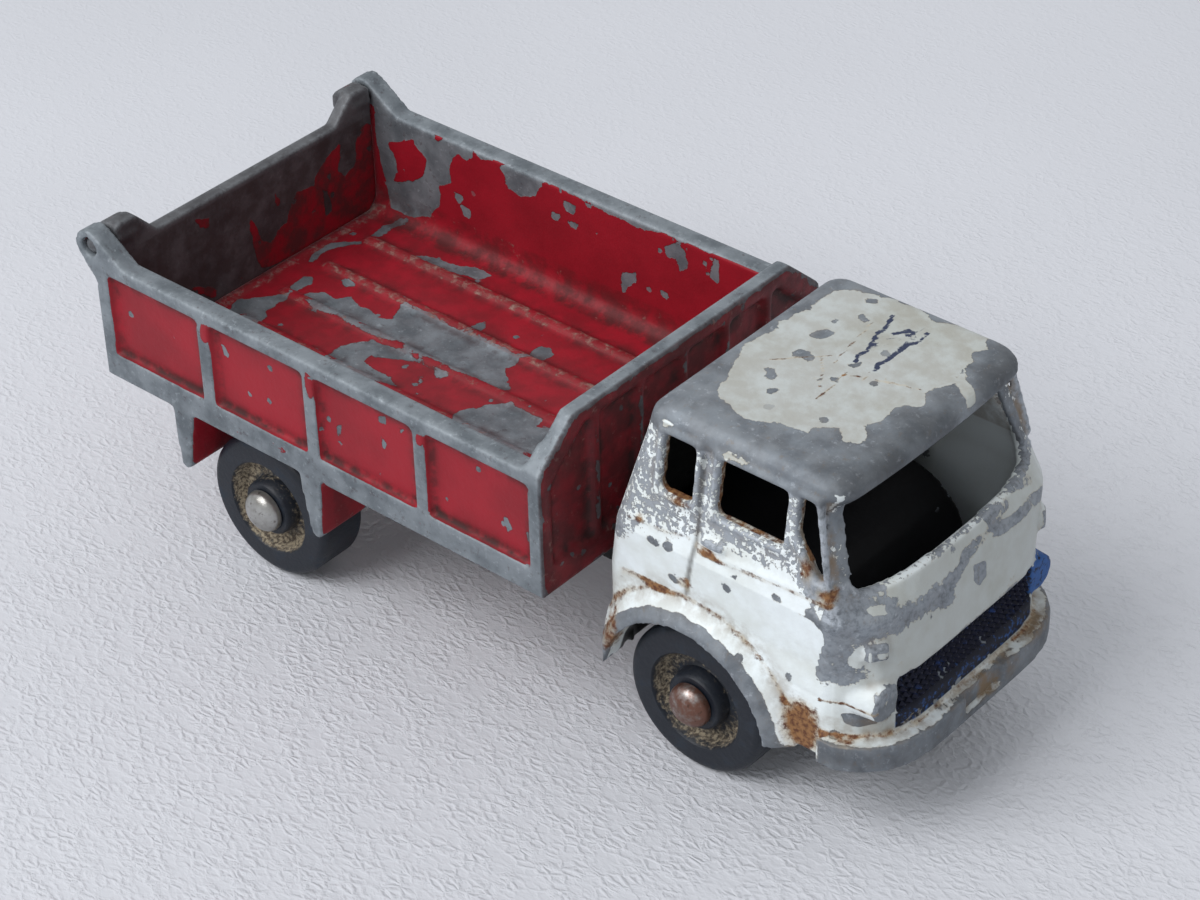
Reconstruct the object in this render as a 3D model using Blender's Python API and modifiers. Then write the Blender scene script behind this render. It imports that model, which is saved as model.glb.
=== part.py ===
"""Toy dump truck: cast cab, chassis and tipper bed, hinged tailgate, riveted axles and moulded wheels."""

import math

import bmesh
import bpy
from mathutils import Matrix, Vector

# Clearances between pieces
SEAT_GAP = 0.0003
RUN_GAP = 0.0001

# Wheels and axles
WHEEL_RADIUS = 0.00526
WHEEL_WIDTH = 0.0039
RIM_RADIUS = 0.0034
COLLAR_RADIUS = 0.0020
RECESS_DEPTH = 0.0011
RECESS_DRAFT = 0.0002
COLLAR_STAND = 0.0001
HUB_STAND = 0.0003
SHOULDER = 0.0006
AXLE_RADIUS = 0.0008
HEAD_RADIUS = 0.0015
HEAD_HEIGHT = 0.0009
HEAD_EDGE = 0.0002
REAR_AXLE_SETBACK = 0.0132
FRONT_AXLE_SETBACK = 0.0070
REAR_WHEEL_INSET = 0.00145
FRONT_WHEEL_INSET = 0.0001

# Tipper bed
BED_REAR_X = -0.0306
BED_LENGTH = 0.0395
BED_WIDTH = 0.0277
BED_BASE_Z = 0.01145
SIDE_HEIGHT = 0.0092
FRONT_RISE = 0.0029
FRONT_CHAMFER = 0.0032
BED_WALL = 0.0015
FRONT_WALL = 0.0012
FLOOR_THICKNESS = 0.0008
FLOOR_FILLET = 0.0012
TOP_RAIL = 0.0010
BOTTOM_RAIL = 0.0019
POST_WIDTH = 0.0011
PANEL_COUNT = 4
PANEL_DEPTH = 0.0005
FRONT_RIB_COUNT = 5
RIB_WIDTH = 0.0006
FLOOR_RIB_COUNT = 5
FLOOR_RIB_PITCH = 0.0043
FLOOR_RIB_HEIGHT = 0.0003

# Mudguards under the bed
GUARD_DEPTH = 0.0046
GUARD_TOP = 0.0021
GUARD_TIP = 0.0009
GUARD_TIP_ROUND = 0.0003
GUARD_DROP = 0.0048
GUARD_WHEEL_GAP = 0.0005

# Tailgate and its ears
EAR_RADIUS = 0.00125
EAR_PIN_RISE = 0.0007
EAR_OVERHANG = 0.0004
EAR_SLOPE = 0.0028
TRUNNION_RADIUS = 0.0006
GATE_THICKNESS = 0.0010
GATE_SET_IN = 0.0005
GATE_GAP = 0.0002
GATE_EAR_WIDTH = 0.0018
GATE_EAR_SLOPE = 0.0018
GATE_EAR_RISE = 0.0012
GATE_EAR_ROUND = 0.0005
GATE_BOSS_RADIUS = 0.0011
GATE_BORDER = 0.0012
GATE_PANEL_COUNT = 3
GATE_PANEL_DEPTH = 0.0004

# Chassis
RAIL_SPREAD = 0.0104
RAIL_THICKNESS = 0.0014
RAIL_DEPTH = 0.0030
DECK_THICKNESS = 0.0012
HINGE_SETBACK = 0.0039
HINGE_PIN_RADIUS = 0.0007
HINGE_HEAD_RADIUS = 0.0010
HINGE_HEAD_HEIGHT = 0.0004
HINGE_LUG = 0.0012
BEARING_RADIUS = 0.0019
BEARING_LENGTH = 0.0050
WEB_WIDTH = 0.0114
HUMP_WIDTH = 0.0136
HUMP_TOP_Z = 0.0164
HUMP_SETBACK = 0.0052
HUMP_RADIUS = 0.0048
HUMP_EDGE = 0.0008
PAN_THICKNESS = 0.0012
CHASSIS_WALL = 0.0012

# Cab
CAB_HEIGHT = 0.0259
CAB_FLOOR_Z = 0.0064
WAIST_RISE = 0.0066
SCREEN_RISE = 0.0019
SCREEN_HEIGHT = 0.0049
ROOF_RISE = 0.0021
CAB_WIDTH = 0.0200
BELT_WIDTH = 0.0212
ROOF_WIDTH = 0.0188
CAB_GAP = 0.0016
CAB_LENGTH = 0.0207
REAR_LEAN = 0.0031
NOSE_BOW = 0.0038
NOSE_POWER = 6.0
NOSE_CORNER = 0.0003
BELT_SETBACK = 0.0005
BELT_BOW = 0.0024
BELT_POWER = 6.0
SCREEN_BASE_SETBACK = 0.0013
SCREEN_BASE_BOW = 0.0022
SCREEN_BASE_POWER = 3.0
SCREEN_TOP_SETBACK = 0.0039
SCREEN_TOP_BOW = 0.0008
SCREEN_POWER = 2.2
PILLAR_CORNER = 0.0008
VISOR_SETBACK = 0.0035
VISOR_BOW = 0.0004
VISOR_CORNER = 0.0020
VISOR_EDGE = 0.0003
BROW_SETBACK = 0.0028
CAB_WALL = 0.0009
WINDOW_WALL = 0.0006
ROOF_ROUND = 0.0010
REAR_CORNER = 0.0011
ARCH_GAP = 0.0010
FLARE_LIP = 0.0005
FLARE_RUN = 0.0018
FLARE_STAND = 0.0013
FLARE_END_Z = 0.0060
FLARE_TAIL_OUT = 0.0004
FLARE_TAIL_IN = 0.0007
WINDOW_RISE = 0.0036
WINDOW_HEIGHT = 0.0038
WINDOW_CORNER = 0.0005
REAR_PILLAR = 0.0045
QUARTER_WINDOW_LENGTH = 0.0025
DOOR_PILLAR = 0.0017
DOOR_WINDOW_LENGTH = 0.0051
VENT_PILLAR = 0.0008
VENT_LENGTH = 0.0011
VENT_BEND_RISE = 0.0012
VENT_FOOT_RUN = 0.0018
VENT_FOOT_DROP = 0.0010
VENT_FOOT_LENGTH = 0.0006
VENT_CORNER = 0.0002
SCREEN_TOP_WIDTH = 0.0154
SCREEN_BASE_WIDTH = 0.0178
SCREEN_CORNER = 0.0008
SCREEN_LEDGE = 0.00015
SCREEN_DIP = 0.0004
BUMPER_Z = 0.0063
BUMPER_HEIGHT = 0.0019
BUMPER_STAND = 0.0011
BUMPER_BOW = 0.0036
BUMPER_SPREAD = 0.0006
BUMPER_END_SETBACK = 0.0038
PLATE_WIDTH = 0.0038
PLATE_DEPTH = 0.0005
PLATE_LIFT = 0.0005
GRILLE_Z = 0.0095
GRILLE_HEIGHT = 0.0028
GRILLE_WIDTH = 0.0140
GRILLE_DEPTH = 0.0005
LAMP_SPREAD = 0.01614
LAMP_Z = 0.0109
LAMP_RADIUS = 0.0014
LAMP_STAND = 0.0005
LAMP_TAPER = 0.0002

ROUND_STEPS = 32
SMALL_STEPS = 20
BOW_STEPS = 16
CORNER_STEPS = 4
DOME_STEPS = 5
LOBE_STEPS = 8

# Places worked out from the driving dimensions
BED_FRONT_X = BED_REAR_X + BED_LENGTH
CAB_REAR_X = BED_FRONT_X + CAB_GAP
NOSE_X = CAB_REAR_X + CAB_LENGTH
REAR_AXLE_X = BED_REAR_X + REAR_AXLE_SETBACK
FRONT_AXLE_X = CAB_REAR_X + FRONT_AXLE_SETBACK
HINGE_X = BED_REAR_X + HINGE_SETBACK
HUMP_FRONT_X = NOSE_X - HUMP_SETBACK
BUMPER_X = NOSE_X + BUMPER_STAND
BUMPER_END_X = NOSE_X - BUMPER_END_SETBACK
AXLE_Z = WHEEL_RADIUS
BED_HALF = BED_WIDTH / 2
BED_INNER = BED_HALF - BED_WALL
SIDE_TOP_Z = BED_BASE_Z + SIDE_HEIGHT
FRONT_TOP_Z = SIDE_TOP_Z + FRONT_RISE
FLOOR_Z = BED_BASE_Z + FLOOR_THICKNESS
EAR_X = BED_REAR_X - EAR_OVERHANG
EAR_Z = SIDE_TOP_Z + EAR_PIN_RISE
DECK_Z = BED_BASE_Z - SEAT_GAP
HINGE_Z = DECK_Z - RAIL_DEPTH / 2
RAIL_HALF = RAIL_SPREAD / 2
REAR_WHEEL_FACE = BED_HALF - REAR_WHEEL_INSET
FRONT_WHEEL_FACE = CAB_WIDTH / 2 - FRONT_WHEEL_INSET
ARCH_RADIUS = WHEEL_RADIUS + ARCH_GAP
FLARE_FACE = FRONT_WHEEL_FACE + FLARE_STAND
WHEEL_BORE = AXLE_RADIUS + RUN_GAP
CAB_ROOF_Z = CAB_HEIGHT
VISOR_Z = CAB_ROOF_Z - ROOF_RISE
SCREEN_BASE_Z = VISOR_Z - SCREEN_HEIGHT
CAB_BELT_Z = SCREEN_BASE_Z - SCREEN_RISE
CAB_WAIST_Z = CAB_FLOOR_Z + WAIST_RISE
WINDOW_SILL_Z = CAB_BELT_Z + WINDOW_RISE
WINDOW_TOP_Z = WINDOW_SILL_Z + WINDOW_HEIGHT
QUARTER_WINDOW_X = CAB_REAR_X + REAR_PILLAR
DOOR_WINDOW_X = QUARTER_WINDOW_X + QUARTER_WINDOW_LENGTH + DOOR_PILLAR
VENT_X = DOOR_WINDOW_X + DOOR_WINDOW_LENGTH + VENT_PILLAR
VENT_FOOT_X = VENT_X + VENT_FOOT_RUN
VENT_FOOT_Z = WINDOW_SILL_Z - VENT_FOOT_DROP
VENT_BEND_Z = WINDOW_SILL_Z + VENT_BEND_RISE

# The front of the cab at each level: nose, bow, how squarely it turns, and corner radius
NOSE_FRONT = (NOSE_X, NOSE_BOW, NOSE_POWER, NOSE_CORNER)
BELT_FRONT = (NOSE_X - BELT_SETBACK, BELT_BOW, BELT_POWER, NOSE_CORNER)
SCREEN_BASE_FRONT = (NOSE_X - SCREEN_BASE_SETBACK, SCREEN_BASE_BOW, SCREEN_BASE_POWER, PILLAR_CORNER)
SCREEN_TOP_FRONT = (NOSE_X - SCREEN_TOP_SETBACK, SCREEN_TOP_BOW, SCREEN_POWER, PILLAR_CORNER)
VISOR_FRONT = (NOSE_X - VISOR_SETBACK, VISOR_BOW, SCREEN_POWER, VISOR_CORNER)
BROW_FRONT = (NOSE_X - BROW_SETBACK, VISOR_BOW, SCREEN_POWER, VISOR_CORNER)
BUMPER_FRONT = (BUMPER_X, BUMPER_BOW, NOSE_POWER, NOSE_CORNER)


def start_scene():
    for old in list(bpy.data.objects):
        bpy.data.objects.remove(old)
    for name in ("toy_dump_truck", "cutters"):
        collection = bpy.data.collections.new(name)
        bpy.context.scene.collection.children.link(collection)


def material(name, colour, roughness, metallic):
    paint = bpy.data.materials.new(name)
    paint.use_nodes = True
    shader = paint.node_tree.nodes["Principled BSDF"]
    shader.inputs["Base Color"].default_value = (*colour, 1)
    shader.inputs["Roughness"].default_value = roughness
    shader.inputs["Metallic"].default_value = metallic
    return paint


def tool(name, mesh):
    """A shape that only cuts or joins a sub-part."""
    made = bpy.data.objects.new(name, mesh)
    bpy.data.collections["cutters"].objects.link(made)
    made.hide_render = True
    made.display_type = "WIRE"
    return made


def part(made, paint, origin=None):
    """Turns a shape into a named sub-part; an origin puts its own zero point on its joint axis."""
    bpy.data.collections["cutters"].objects.unlink(made)
    bpy.data.collections["toy_dump_truck"].objects.link(made)
    made.hide_render = False
    made.display_type = "TEXTURED"
    made.data.materials.append(paint)
    if made.data.polygons:
        made.data.shade_smooth()
        made.data.set_sharp_from_angle(angle=math.radians(35))
    if origin:
        made.data.transform(Matrix.Translation(-Vector(origin)))
        made.location = origin
    return made


def box(name, x, y, z):
    shape = bmesh.new()
    bmesh.ops.create_cube(shape, size=1)
    spans = [Vector((low, high)) for low, high in (x, y, z)]
    sizes = [span[1] - span[0] for span in spans]
    middle = Vector([(span[0] + span[1]) / 2 for span in spans])
    bmesh.ops.scale(shape, vec=sizes, verts=shape.verts)
    bmesh.ops.translate(shape, vec=middle, verts=shape.verts)
    mesh = bpy.data.meshes.new(name)
    shape.to_mesh(mesh)
    shape.free()
    return tool(name, mesh)


def cylinder(name, radius, centre, y, steps=SMALL_STEPS):
    """A round bar along Y, with its centre line through the point (x, z)."""
    shape = bmesh.new()
    length = y[1] - y[0]
    middle = Matrix.Translation((centre[0], (y[0] + y[1]) / 2, centre[1]))
    place = middle @ Matrix.Rotation(math.pi / 2, 4, "X")
    bmesh.ops.create_cone(
        shape, cap_ends=True, segments=steps, radius1=radius, radius2=radius, depth=length, matrix=place
    )
    mesh = bpy.data.meshes.new(name)
    shape.to_mesh(mesh)
    shape.free()
    return tool(name, mesh)


PLANES = {
    "XY": Matrix.Identity(4),
    "XZ": Matrix.Rotation(math.pi / 2, 4, "X"),
    "YZ": Matrix(((0, 0, 1, 0), (1, 0, 0, 0), (0, 1, 0, 0), (0, 0, 0, 1))),
}
NORMALS = {"XY": Vector((0, 0, 1)), "XZ": Vector((0, 1, 0)), "YZ": Vector((1, 0, 0))}


def slab(name, outline, plane, span):
    """A flat outline in a plane, as thick as the span along the plane's normal."""
    curve = bpy.data.curves.new(name, "CURVE")
    curve.dimensions = "2D"
    curve.fill_mode = "BOTH"
    curve.extrude = (span[1] - span[0]) / 2
    spline = curve.splines.new("POLY")
    spline.points.add(len(outline) - 1)
    for point, (u, v) in zip(spline.points, outline):
        point.co = (u, v, 0, 1)
    spline.use_cyclic_u = True
    flat = bpy.data.objects.new(name + "_outline", curve)
    bpy.data.collections["cutters"].objects.link(flat)
    seen = flat.evaluated_get(bpy.context.evaluated_depsgraph_get())
    mesh = bpy.data.meshes.new_from_object(seen)
    bpy.data.objects.remove(flat)
    mesh.transform(Matrix.Translation(NORMALS[plane] * (span[0] + span[1]) / 2) @ PLANES[plane])
    shape = bmesh.new()
    shape.from_mesh(mesh)
    bmesh.ops.remove_doubles(shape, verts=shape.verts, dist=1e-7)
    bmesh.ops.recalc_face_normals(shape, faces=shape.faces)
    shape.to_mesh(mesh)
    shape.free()
    mesh.name = name
    return tool(name, mesh)


def rounded(corners, steps=CORNER_STEPS):
    """A closed outline from (u, v, radius) corners, with an arc at each corner that has a radius."""
    outline = []
    for index, (u, v, radius) in enumerate(corners):
        here = Vector((u, v))
        if radius == 0:
            outline.append(here)
            continue
        back = (Vector(corners[index - 1][:2]) - here).normalized()
        ahead = (Vector(corners[(index + 1) % len(corners)][:2]) - here).normalized()
        half = back.angle(ahead) / 2
        centre = here + (back + ahead).normalized() * radius / math.sin(half)
        start = here + back * radius / math.tan(half) - centre
        end = here + ahead * radius / math.tan(half) - centre
        for step in range(steps + 1):
            outline.append(centre + start.lerp(end, step / steps).normalized() * radius)
    return outline


def arc(centre, radius, start, end, steps):
    """Points on an arc, with its angles in degrees."""
    angles = [math.radians(start + (end - start) * step / steps) for step in range(steps + 1)]
    return [Vector((centre[0] + radius * math.cos(a), centre[1] + radius * math.sin(a))) for a in angles]


def turned(name, profile, centre, outward, closed=False, steps=ROUND_STEPS):
    """A profile of (radius, distance) points turned about a Y axis through (x, y, z), facing outward."""
    mesh = bpy.data.meshes.new(name)
    links = [(index, index + 1) for index in range(len(profile) - 1)]
    if closed:
        links.append((len(profile) - 1, 0))
    mesh.from_pydata([(radius, 0, distance) for radius, distance in profile], links, [])
    made = tool(name, mesh)
    made.location = centre
    made.rotation_euler.x = -math.pi / 2 * outward
    screw = made.modifiers.new("turn", "SCREW")
    screw.steps = steps
    screw.render_steps = steps
    screw.use_merge_vertices = True
    screw.merge_threshold = 0.000001
    return made


def loft(name, rings):
    """A closed skin through rings of equal point counts, from the lowest to the highest."""
    shape = bmesh.new()
    rows = [[shape.verts.new(point) for point in ring] for ring in rings]
    count = len(rows[0])
    for low, high in zip(rows, rows[1:]):
        for index in range(count):
            after = (index + 1) % count
            shape.faces.new((low[index], low[after], high[after], high[index]))
    shape.faces.new(rows[0][::-1])
    shape.faces.new(rows[-1])
    bmesh.ops.recalc_face_normals(shape, faces=shape.faces)
    mesh = bpy.data.meshes.new(name)
    shape.to_mesh(mesh)
    shape.free()
    return tool(name, mesh)


def combine(target, others, operation):
    for other in others:
        step = target.modifiers.new(other.name, "BOOLEAN")
        step.operation = operation
        step.solver = "EXACT"
        step.object = other
    return target


def add(target, *others):
    return combine(target, others, "UNION")


def cut(target, *others):
    return combine(target, others, "DIFFERENCE")


def both_sides(low, high):
    """The same span of Y on the right and on the left."""
    return ((-high, -low), (low, high))


def cab_half_width(z):
    widening = min(max((z - CAB_WAIST_Z) / (CAB_BELT_Z - CAB_WAIST_Z), 0), 1)
    narrowing = min(max((z - CAB_BELT_Z) / (VISOR_Z - CAB_BELT_Z), 0), 1)
    return (CAB_WIDTH + (BELT_WIDTH - CAB_WIDTH) * widening + (ROOF_WIDTH - BELT_WIDTH) * narrowing) / 2


def cab_rear(z):
    share = (max(z, CAB_WAIST_Z) - CAB_WAIST_Z) / (CAB_ROOF_Z - CAB_WAIST_Z)
    return CAB_REAR_X + REAR_LEAN * share


def front_x(y, half, front):
    """How far forward the bowed front reaches at a distance from the middle."""
    nose, bow, power, _ = front
    return nose - bow * (abs(y) / half) ** power


def cab_ring(z, front, inset=0.0, level=None, spread=0.0):
    """The cab's plan: straight sides, rounded corners and a bowed front, with the width of a given level."""
    at = z if level is None else level
    half = cab_half_width(at) + spread
    rear = cab_rear(at) + inset
    corner = front[3]
    side = half - inset
    reach = side - corner
    tip = front_x(half, half, front) - inset
    corners = [(rear, -side, REAR_CORNER), (tip, -side, corner)]
    for step in range(1, BOW_STEPS):
        y = reach * math.sin(math.pi * (step / BOW_STEPS - 0.5))
        corners.append((front_x(y * half / side, half, front) - inset, y, 0))
    corners += [(tip, side, corner), (rear, side, REAR_CORNER)]
    return [(x, y, z) for x, y in rounded(corners)]


def shoulder(start, end):
    """The tyre's rounded edge between two angles in degrees, as (radius, depth behind the face) points."""
    points = arc((WHEEL_RADIUS - SHOULDER, -SHOULDER), SHOULDER, start, end, CORNER_STEPS)
    return [(point.x, point.y) for point in points]


def build_wheel(name, axle_x, face, outward, paint):
    web = -RECESS_DEPTH
    far_web = RECESS_DEPTH - WHEEL_WIDTH
    profile = [
        (WHEEL_BORE, COLLAR_STAND),
        (COLLAR_RADIUS, COLLAR_STAND),
        (COLLAR_RADIUS + RECESS_DRAFT, web),
        (RIM_RADIUS - RECESS_DRAFT, web),
        (RIM_RADIUS, 0),
    ]
    profile += shoulder(90, 0)
    profile += [(radius, -WHEEL_WIDTH - depth) for radius, depth in shoulder(0, 90)]
    profile += [
        (RIM_RADIUS, -WHEEL_WIDTH),
        (RIM_RADIUS - RECESS_DRAFT, far_web),
        (COLLAR_RADIUS + RECESS_DRAFT, far_web),
        (COLLAR_RADIUS, -WHEEL_WIDTH - HUB_STAND),
        (WHEEL_BORE, -WHEEL_WIDTH - HUB_STAND),
    ]
    wheel = turned(name, profile, (axle_x, face * outward, AXLE_Z), outward, closed=True)
    return part(wheel, paint)


def build_axle(name, axle_x, face, paint):
    """A wire with a domed head riveted on each end, outside the wheels' collars."""
    seat = face + COLLAR_STAND + RUN_GAP
    half = [(0, seat + HEAD_EDGE + HEAD_HEIGHT)]
    for step in range(1, DOME_STEPS + 1):
        angle = math.pi / 2 * step / DOME_STEPS
        half.append((HEAD_RADIUS * math.sin(angle), seat + HEAD_EDGE + HEAD_HEIGHT * math.cos(angle)))
    half += [(HEAD_RADIUS, seat), (AXLE_RADIUS, seat)]
    other = [(radius, -distance) for radius, distance in reversed(half)]
    axle = turned(name, half + other, (axle_x, 0, AXLE_Z), 1, steps=SMALL_STEPS)
    return part(axle, paint)


def bed_panels():
    """Shallow panels between the posts of both sides."""
    pitch = (BED_LENGTH - POST_WIDTH) / PANEL_COUNT
    low = BED_BASE_Z + BOTTOM_RAIL
    high = SIDE_TOP_Z - TOP_RAIL
    pockets = []
    for index in range(PANEL_COUNT):
        rear = BED_REAR_X + POST_WIDTH + pitch * index
        for side, span in enumerate(both_sides(BED_HALF - PANEL_DEPTH, BED_HALF + PANEL_DEPTH)):
            name = f"side_panel_{index}_{side}"
            pockets.append(box(name, (rear, rear + pitch - POST_WIDTH), span, (low, high)))
    return pockets


def front_wall_outline(margin):
    """The front wall with its cut-off top corners, drawn in by a margin."""
    half = BED_HALF - margin
    shoulder = half - FRONT_CHAMFER
    low = BED_BASE_Z + (BOTTOM_RAIL if margin else 0)
    return [
        (-half, low),
        (half, low),
        (half, SIDE_TOP_Z - margin),
        (shoulder, FRONT_TOP_Z - margin),
        (-shoulder, FRONT_TOP_Z - margin),
        (-half, SIDE_TOP_Z - margin),
    ]


def front_wall_panel():
    """The sunk panel on the front wall, with upright ribs left standing in it."""
    span = (BED_FRONT_X - PANEL_DEPTH, BED_FRONT_X + PANEL_DEPTH)
    panel = slab("front_panel", front_wall_outline(POST_WIDTH), "YZ", span)
    through = (BED_FRONT_X - FRONT_WALL, BED_FRONT_X + FRONT_WALL)
    pitch = (BED_WIDTH - 2 * POST_WIDTH) / (FRONT_RIB_COUNT + 1)
    for index in range(FRONT_RIB_COUNT):
        y = pitch * (index - (FRONT_RIB_COUNT - 1) / 2)
        rib = (y - RIB_WIDTH / 2, y + RIB_WIDTH / 2)
        cut(panel, box(f"front_rib_{index}", through, rib, (0, CAB_ROOF_Z)))
    return panel


def load_space():
    """The hollow of the bed, open at the top and the rear, with round bottom edges."""
    floor = FLOOR_Z
    top = FRONT_TOP_Z + BED_WALL
    corners = [
        (-BED_INNER, floor, FLOOR_FILLET),
        (BED_INNER, floor, FLOOR_FILLET),
        (BED_INNER, top, 0),
        (-BED_INNER, top, 0),
    ]
    return slab("load_space", rounded(corners), "YZ", (BED_REAR_X - BED_WALL, BED_FRONT_X - FRONT_WALL))


def ear(side, span):
    """A lobe on the rear of a side wall, round the tailgate's trunnion."""
    lobe = arc((EAR_X, EAR_Z), EAR_RADIUS, 60, 210, LOBE_STEPS)
    foot = [
        (BED_REAR_X, EAR_Z - 2 * EAR_RADIUS),
        (BED_REAR_X + POST_WIDTH, EAR_Z - 2 * EAR_RADIUS),
        (BED_REAR_X + EAR_SLOPE, SIDE_TOP_Z - TOP_RAIL / 2),
        (BED_REAR_X + EAR_SLOPE, SIDE_TOP_Z),
    ]
    return slab(f"ear_{side}", lobe + [Vector(point) for point in foot], "XZ", span)


def mudguards(side, span):
    """Tapered plates before and behind the rear wheel, cast on the bed's underside."""
    near = WHEEL_RADIUS + GUARD_WHEEL_GAP
    top = BED_BASE_Z + FLOOR_THICKNESS / 2
    tip = BED_BASE_Z - GUARD_DROP
    shapes = []
    for label, way in (("front", 1), ("rear", -1)):
        inner = REAR_AXLE_X + way * near
        outer = inner + way * GUARD_TIP
        corners = [
            (outer + way * SEAT_GAP - way * GUARD_TOP, top, 0),
            (outer + way * SEAT_GAP, top, 0),
            (outer, tip, GUARD_TIP_ROUND),
            (inner, tip, GUARD_TIP_ROUND),
        ]
        shapes.append(slab(f"mudguard_{label}_{side}", rounded(corners), "XZ", span))
    return shapes


def hinge_lug(side, span):
    """A lug under the bed that hangs on the hinge pin beside a chassis rail."""
    radius = RAIL_DEPTH / 2
    outline = arc((HINGE_X, HINGE_Z), radius, 180, 360, LOBE_STEPS)
    top = FLOOR_Z - FLOOR_THICKNESS / 2
    outline += [Vector((HINGE_X + radius, top)), Vector((HINGE_X - radius, top))]
    return slab(f"hinge_lug_{side}", outline, "XZ", span)


def build_bed(paint):
    bed = box("tipper_bed", (BED_REAR_X, BED_FRONT_X), (-BED_HALF, BED_HALF), (BED_BASE_Z, SIDE_TOP_Z))
    wall_span = (BED_FRONT_X - FRONT_WALL - SEAT_GAP, BED_FRONT_X)
    wall = slab("front_wall", front_wall_outline(0), "YZ", wall_span)
    add(bed, wall)
    for side, span in enumerate(both_sides(BED_INNER, BED_HALF)):
        add(bed, ear(side, span))
    cut(bed, load_space(), front_wall_panel(), *bed_panels())
    for index in range(FLOOR_RIB_COUNT):
        y = FLOOR_RIB_PITCH * (index - (FLOOR_RIB_COUNT - 1) / 2)
        length = (BED_REAR_X + 3 * GATE_THICKNESS, BED_FRONT_X - FRONT_WALL / 2)
        height = (FLOOR_Z - FLOOR_THICKNESS / 2, FLOOR_Z + FLOOR_RIB_HEIGHT)
        add(bed, box(f"floor_rib_{index}", length, (y - RIB_WIDTH / 2, y + RIB_WIDTH / 2), height))
    for side, span in enumerate(both_sides(BED_HALF - GUARD_DEPTH, BED_HALF)):
        add(bed, *mudguards(side, span))
    lug_face = RAIL_HALF + SEAT_GAP
    for side, span in enumerate(both_sides(lug_face, lug_face + HINGE_LUG)):
        add(bed, hinge_lug(side, span))
    across = (-BED_WIDTH, BED_WIDTH)
    cut(bed, cylinder("bed_pin_hole", HINGE_PIN_RADIUS + RUN_GAP, (HINGE_X, HINGE_Z), across))
    cut(bed, cylinder("trunnion_holes", TRUNNION_RADIUS + RUN_GAP, (EAR_X, EAR_Z), across))
    return part(bed, paint, (HINGE_X, 0, HINGE_Z))


def build_tailgate(paint):
    half = BED_INNER - GATE_GAP
    ear_foot = half - GATE_EAR_WIDTH - GATE_EAR_SLOPE
    ear_top = EAR_Z + GATE_EAR_RISE
    base = FLOOR_Z + GATE_GAP
    corners = [
        (-half, base, FLOOR_FILLET),
        (half, base, FLOOR_FILLET),
        (half, ear_top, GATE_EAR_ROUND),
        (half - GATE_EAR_WIDTH, ear_top, GATE_EAR_ROUND),
        (ear_foot, SIDE_TOP_Z, GATE_EAR_ROUND),
        (-ear_foot, SIDE_TOP_Z, GATE_EAR_ROUND),
        (GATE_EAR_WIDTH - half, ear_top, GATE_EAR_ROUND),
        (-half, ear_top, GATE_EAR_ROUND),
    ]
    rear = EAR_X - GATE_THICKNESS / 2 + GATE_SET_IN
    gate = slab("tailgate", rounded(corners), "YZ", (rear, rear + GATE_THICKNESS))
    for side, span in enumerate(both_sides(half - GATE_EAR_WIDTH, half)):
        add(gate, cylinder(f"gate_boss_{side}", GATE_BOSS_RADIUS, (EAR_X, EAR_Z), span))
    for side, span in enumerate(both_sides(half - GATE_EAR_WIDTH / 2, BED_HALF - SEAT_GAP)):
        add(gate, cylinder(f"trunnion_{side}", TRUNNION_RADIUS, (EAR_X, EAR_Z), span))
    pitch = (2 * half - GATE_BORDER) / GATE_PANEL_COUNT
    sunk = (rear - GATE_THICKNESS, rear + GATE_PANEL_DEPTH)
    for index in range(GATE_PANEL_COUNT):
        right = -half + GATE_BORDER + pitch * index
        span = (right, right + pitch - GATE_BORDER)
        height = (base + GATE_BORDER, SIDE_TOP_Z - GATE_BORDER)
        cut(gate, box(f"gate_panel_{index}", sunk, span, height))
    return part(gate, paint, (EAR_X, 0, EAR_Z))


def rail(side, span, front):
    outline = arc((HINGE_X, HINGE_Z), RAIL_DEPTH / 2, 90, 270, LOBE_STEPS)
    outline += [Vector((front, DECK_Z - RAIL_DEPTH)), Vector((front, DECK_Z))]
    return slab(f"rail_{side}", outline, "XZ", span)


def bearing(name, axle_x, top, span):
    """A leg under the chassis that carries an axle."""
    outline = arc((axle_x, AXLE_Z), BEARING_RADIUS, 180, 360, LOBE_STEPS)
    half = BEARING_LENGTH / 2
    outline += [Vector((axle_x + half, top)), Vector((axle_x - half, top))]
    return slab(name, outline, "XZ", span)


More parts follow.
